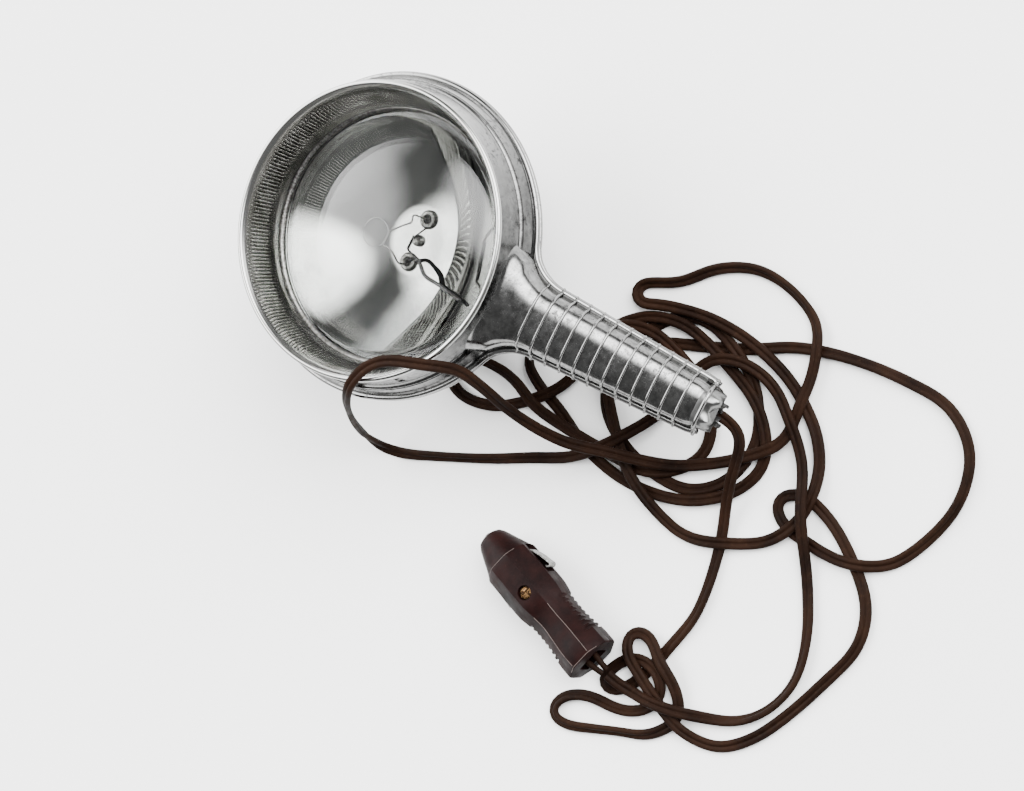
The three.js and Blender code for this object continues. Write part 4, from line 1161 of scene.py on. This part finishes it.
screw = mesh_object("plug_screw_brass", *placed(plug_screw()), BRASS, slot="brass",
                    replaces=["plug_screw"], smooth=30)
apply_boolean(screw, placed(box((-3, PLUG_SCREW_Y - 0.35, 8.75), (3, PLUG_SCREW_Y + 0.35, 12))))
shade(screw, 30)


def leaf(side):
    """A bowed spring strip with its free end curled back."""
    line = [(7.5, LEAF_Y), (9.4, LEAF_Y - 1.2), (11.2, 43.2), (12.2, 38.8)]
    line += arc(11.5, 37.8, 0.95, 20, -200, 12)
    if side < 0:
        px, py = LEAF_PIVOT
        c, s = math.cos(LEFT_LEAF_PRESSED), math.sin(LEFT_LEAF_PRESSED)
        line = [(px + (x - px) * c + (y - py) * s, py - (x - px) * s + (y - py) * c) for x, y in line]
    path = smooth_path([(side * x, y, 0) for x, y in line], 0.4)
    tangents = np.gradient(path, axis=0)
    rings = []
    for p, t in zip(path, tangents):
        size = math.hypot(t[0], t[1]) / 0.2
        nx, ny = -t[1] / size, t[0] / size
        rings.append([
            (p[0] + nx, p[1] + ny, -LEAF_HALF_WIDTH), (p[0] - nx, p[1] - ny, -LEAF_HALF_WIDTH),
            (p[0] - nx, p[1] - ny, LEAF_HALF_WIDTH), (p[0] + nx, p[1] + ny, LEAF_HALF_WIDTH),
        ])
    return swept(rings)


leaves = []
for name, side in (("right", 1), ("left", -1)):
    leaves.append(mesh_object(f"leaf_{name}", *placed(leaf(side)), STEEL, body=f"{name}_leaf",
                              slot="plated_steel", replaces=[f"side_contact_{name}"], smooth=60))


def plug_core(side):
    points = [(side * 2.6, 7, 0.4), (side * 2.4, 3, 0.3), (side * 2.0, 0, 0), (side * 1.5, -3.4, -0.9)]
    points.append((side * 1.15, -5.7, -1.9))
    return wire(points, 1.12, 0.7, 16)


cores = []
for number, side in PAIR:
    cores.append(mesh_object(f"core_{number}", *placed(plug_core(side)), FLEX, slot="brown_flex",
                             replaces=[f"plug_core_{number}"], smooth=60))

with_plug = plug_halves + [plug_ridges, screw] + leaves + cores
with_plug += [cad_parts[name] for name in ("plug_nut", "center_contact", "contact_spring")]

# ---- carried-over CAD nodes take the same materials ----
NODE_MATERIALS = {
    "lamp_gasket": GASKET, "lamp_wire": GASKET, "feed_wire": FLEX, "return_wire": FLEX,
    "switch_body": BLACK, "switch_slider": BLACK, "plug_nut": BRASS,
}
for name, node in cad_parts.items():
    brassy = name.startswith(("lamp_terminal", "terminal_screw", "switch_tag"))
    material = NODE_MATERIALS.get(name, BRASS if brassy else STEEL)
    node.data.materials.clear()
    node.data.materials.append(material)

# ---- floor and light ----
FLOOR_HALF = 4.0  # metres
SKY_GREY = 0.12
SKY_STRENGTH = 2.62
# direction, cosine where the glow starts, cosine where it is full, brightness
SKY_LOBES = (
    ((0.60, -0.33, 0.73), 0.80, 0.98, 6.5),
    ((0.30, 0.93, 0.24), 0.80, 0.98, 3.0),
    ((-0.15, 0.72, 0.68), 0.82, 0.99, 4.5),
)


def make_floor():
    data = bpy.data.meshes.new("floor")
    corners = [(x * FLOOR_HALF, y * FLOOR_HALF, 0) for x, y in ((-1, -1), (1, -1), (1, 1), (-1, 1))]
    data.from_pydata(corners, [], [(0, 1, 2, 3)])
    floor = bpy.data.objects.new("floor", data)
    bpy.context.scene.collection.objects.link(floor)
    floor.data.materials.append(floor_material())


def make_world():
    """A grey studio with broad soft lights, so that the chrome has something to reflect."""
    world = bpy.data.worlds.new("studio")
    bpy.context.scene.world = world
    world.use_nodes = True
    tree = world.node_tree
    backdrop = tree.nodes["Background"]
    where = tree.nodes.new("ShaderNodeTexCoord").outputs["Generated"]
    total = None
    for direction, edge, full, bright in SKY_LOBES:
        dot = tree.nodes.new("ShaderNodeVectorMath")
        dot.operation = "DOT_PRODUCT"
        dot.inputs[1].default_value = Vector(direction).normalized()
        tree.links.new(where, dot.inputs[0])
        lobe = tree.nodes.new("ShaderNodeMapRange")
        lobe.interpolation_type = "SMOOTHSTEP"
        lobe.inputs["From Min"].default_value = edge
        lobe.inputs["From Max"].default_value = full
        lobe.inputs["To Max"].default_value = bright
        tree.links.new(dot.outputs["Value"], lobe.inputs["Value"])
        if total is None:
            total = lobe.outputs["Result"]
            continue
        both = tree.nodes.new("ShaderNodeMath")
        tree.links.new(total, both.inputs[0])
        tree.links.new(lobe.outputs["Result"], both.inputs[1])
        total = both.outputs["Value"]
    base = tree.nodes.new("ShaderNodeMath")
    base.inputs[1].default_value = SKY_GREY
    tree.links.new(total, base.inputs[0])
    tree.links.new(base.outputs["Value"], backdrop.inputs["Color"])
    backdrop.inputs["Strength"].default_value = SKY_STRENGTH


make_floor()
make_world()
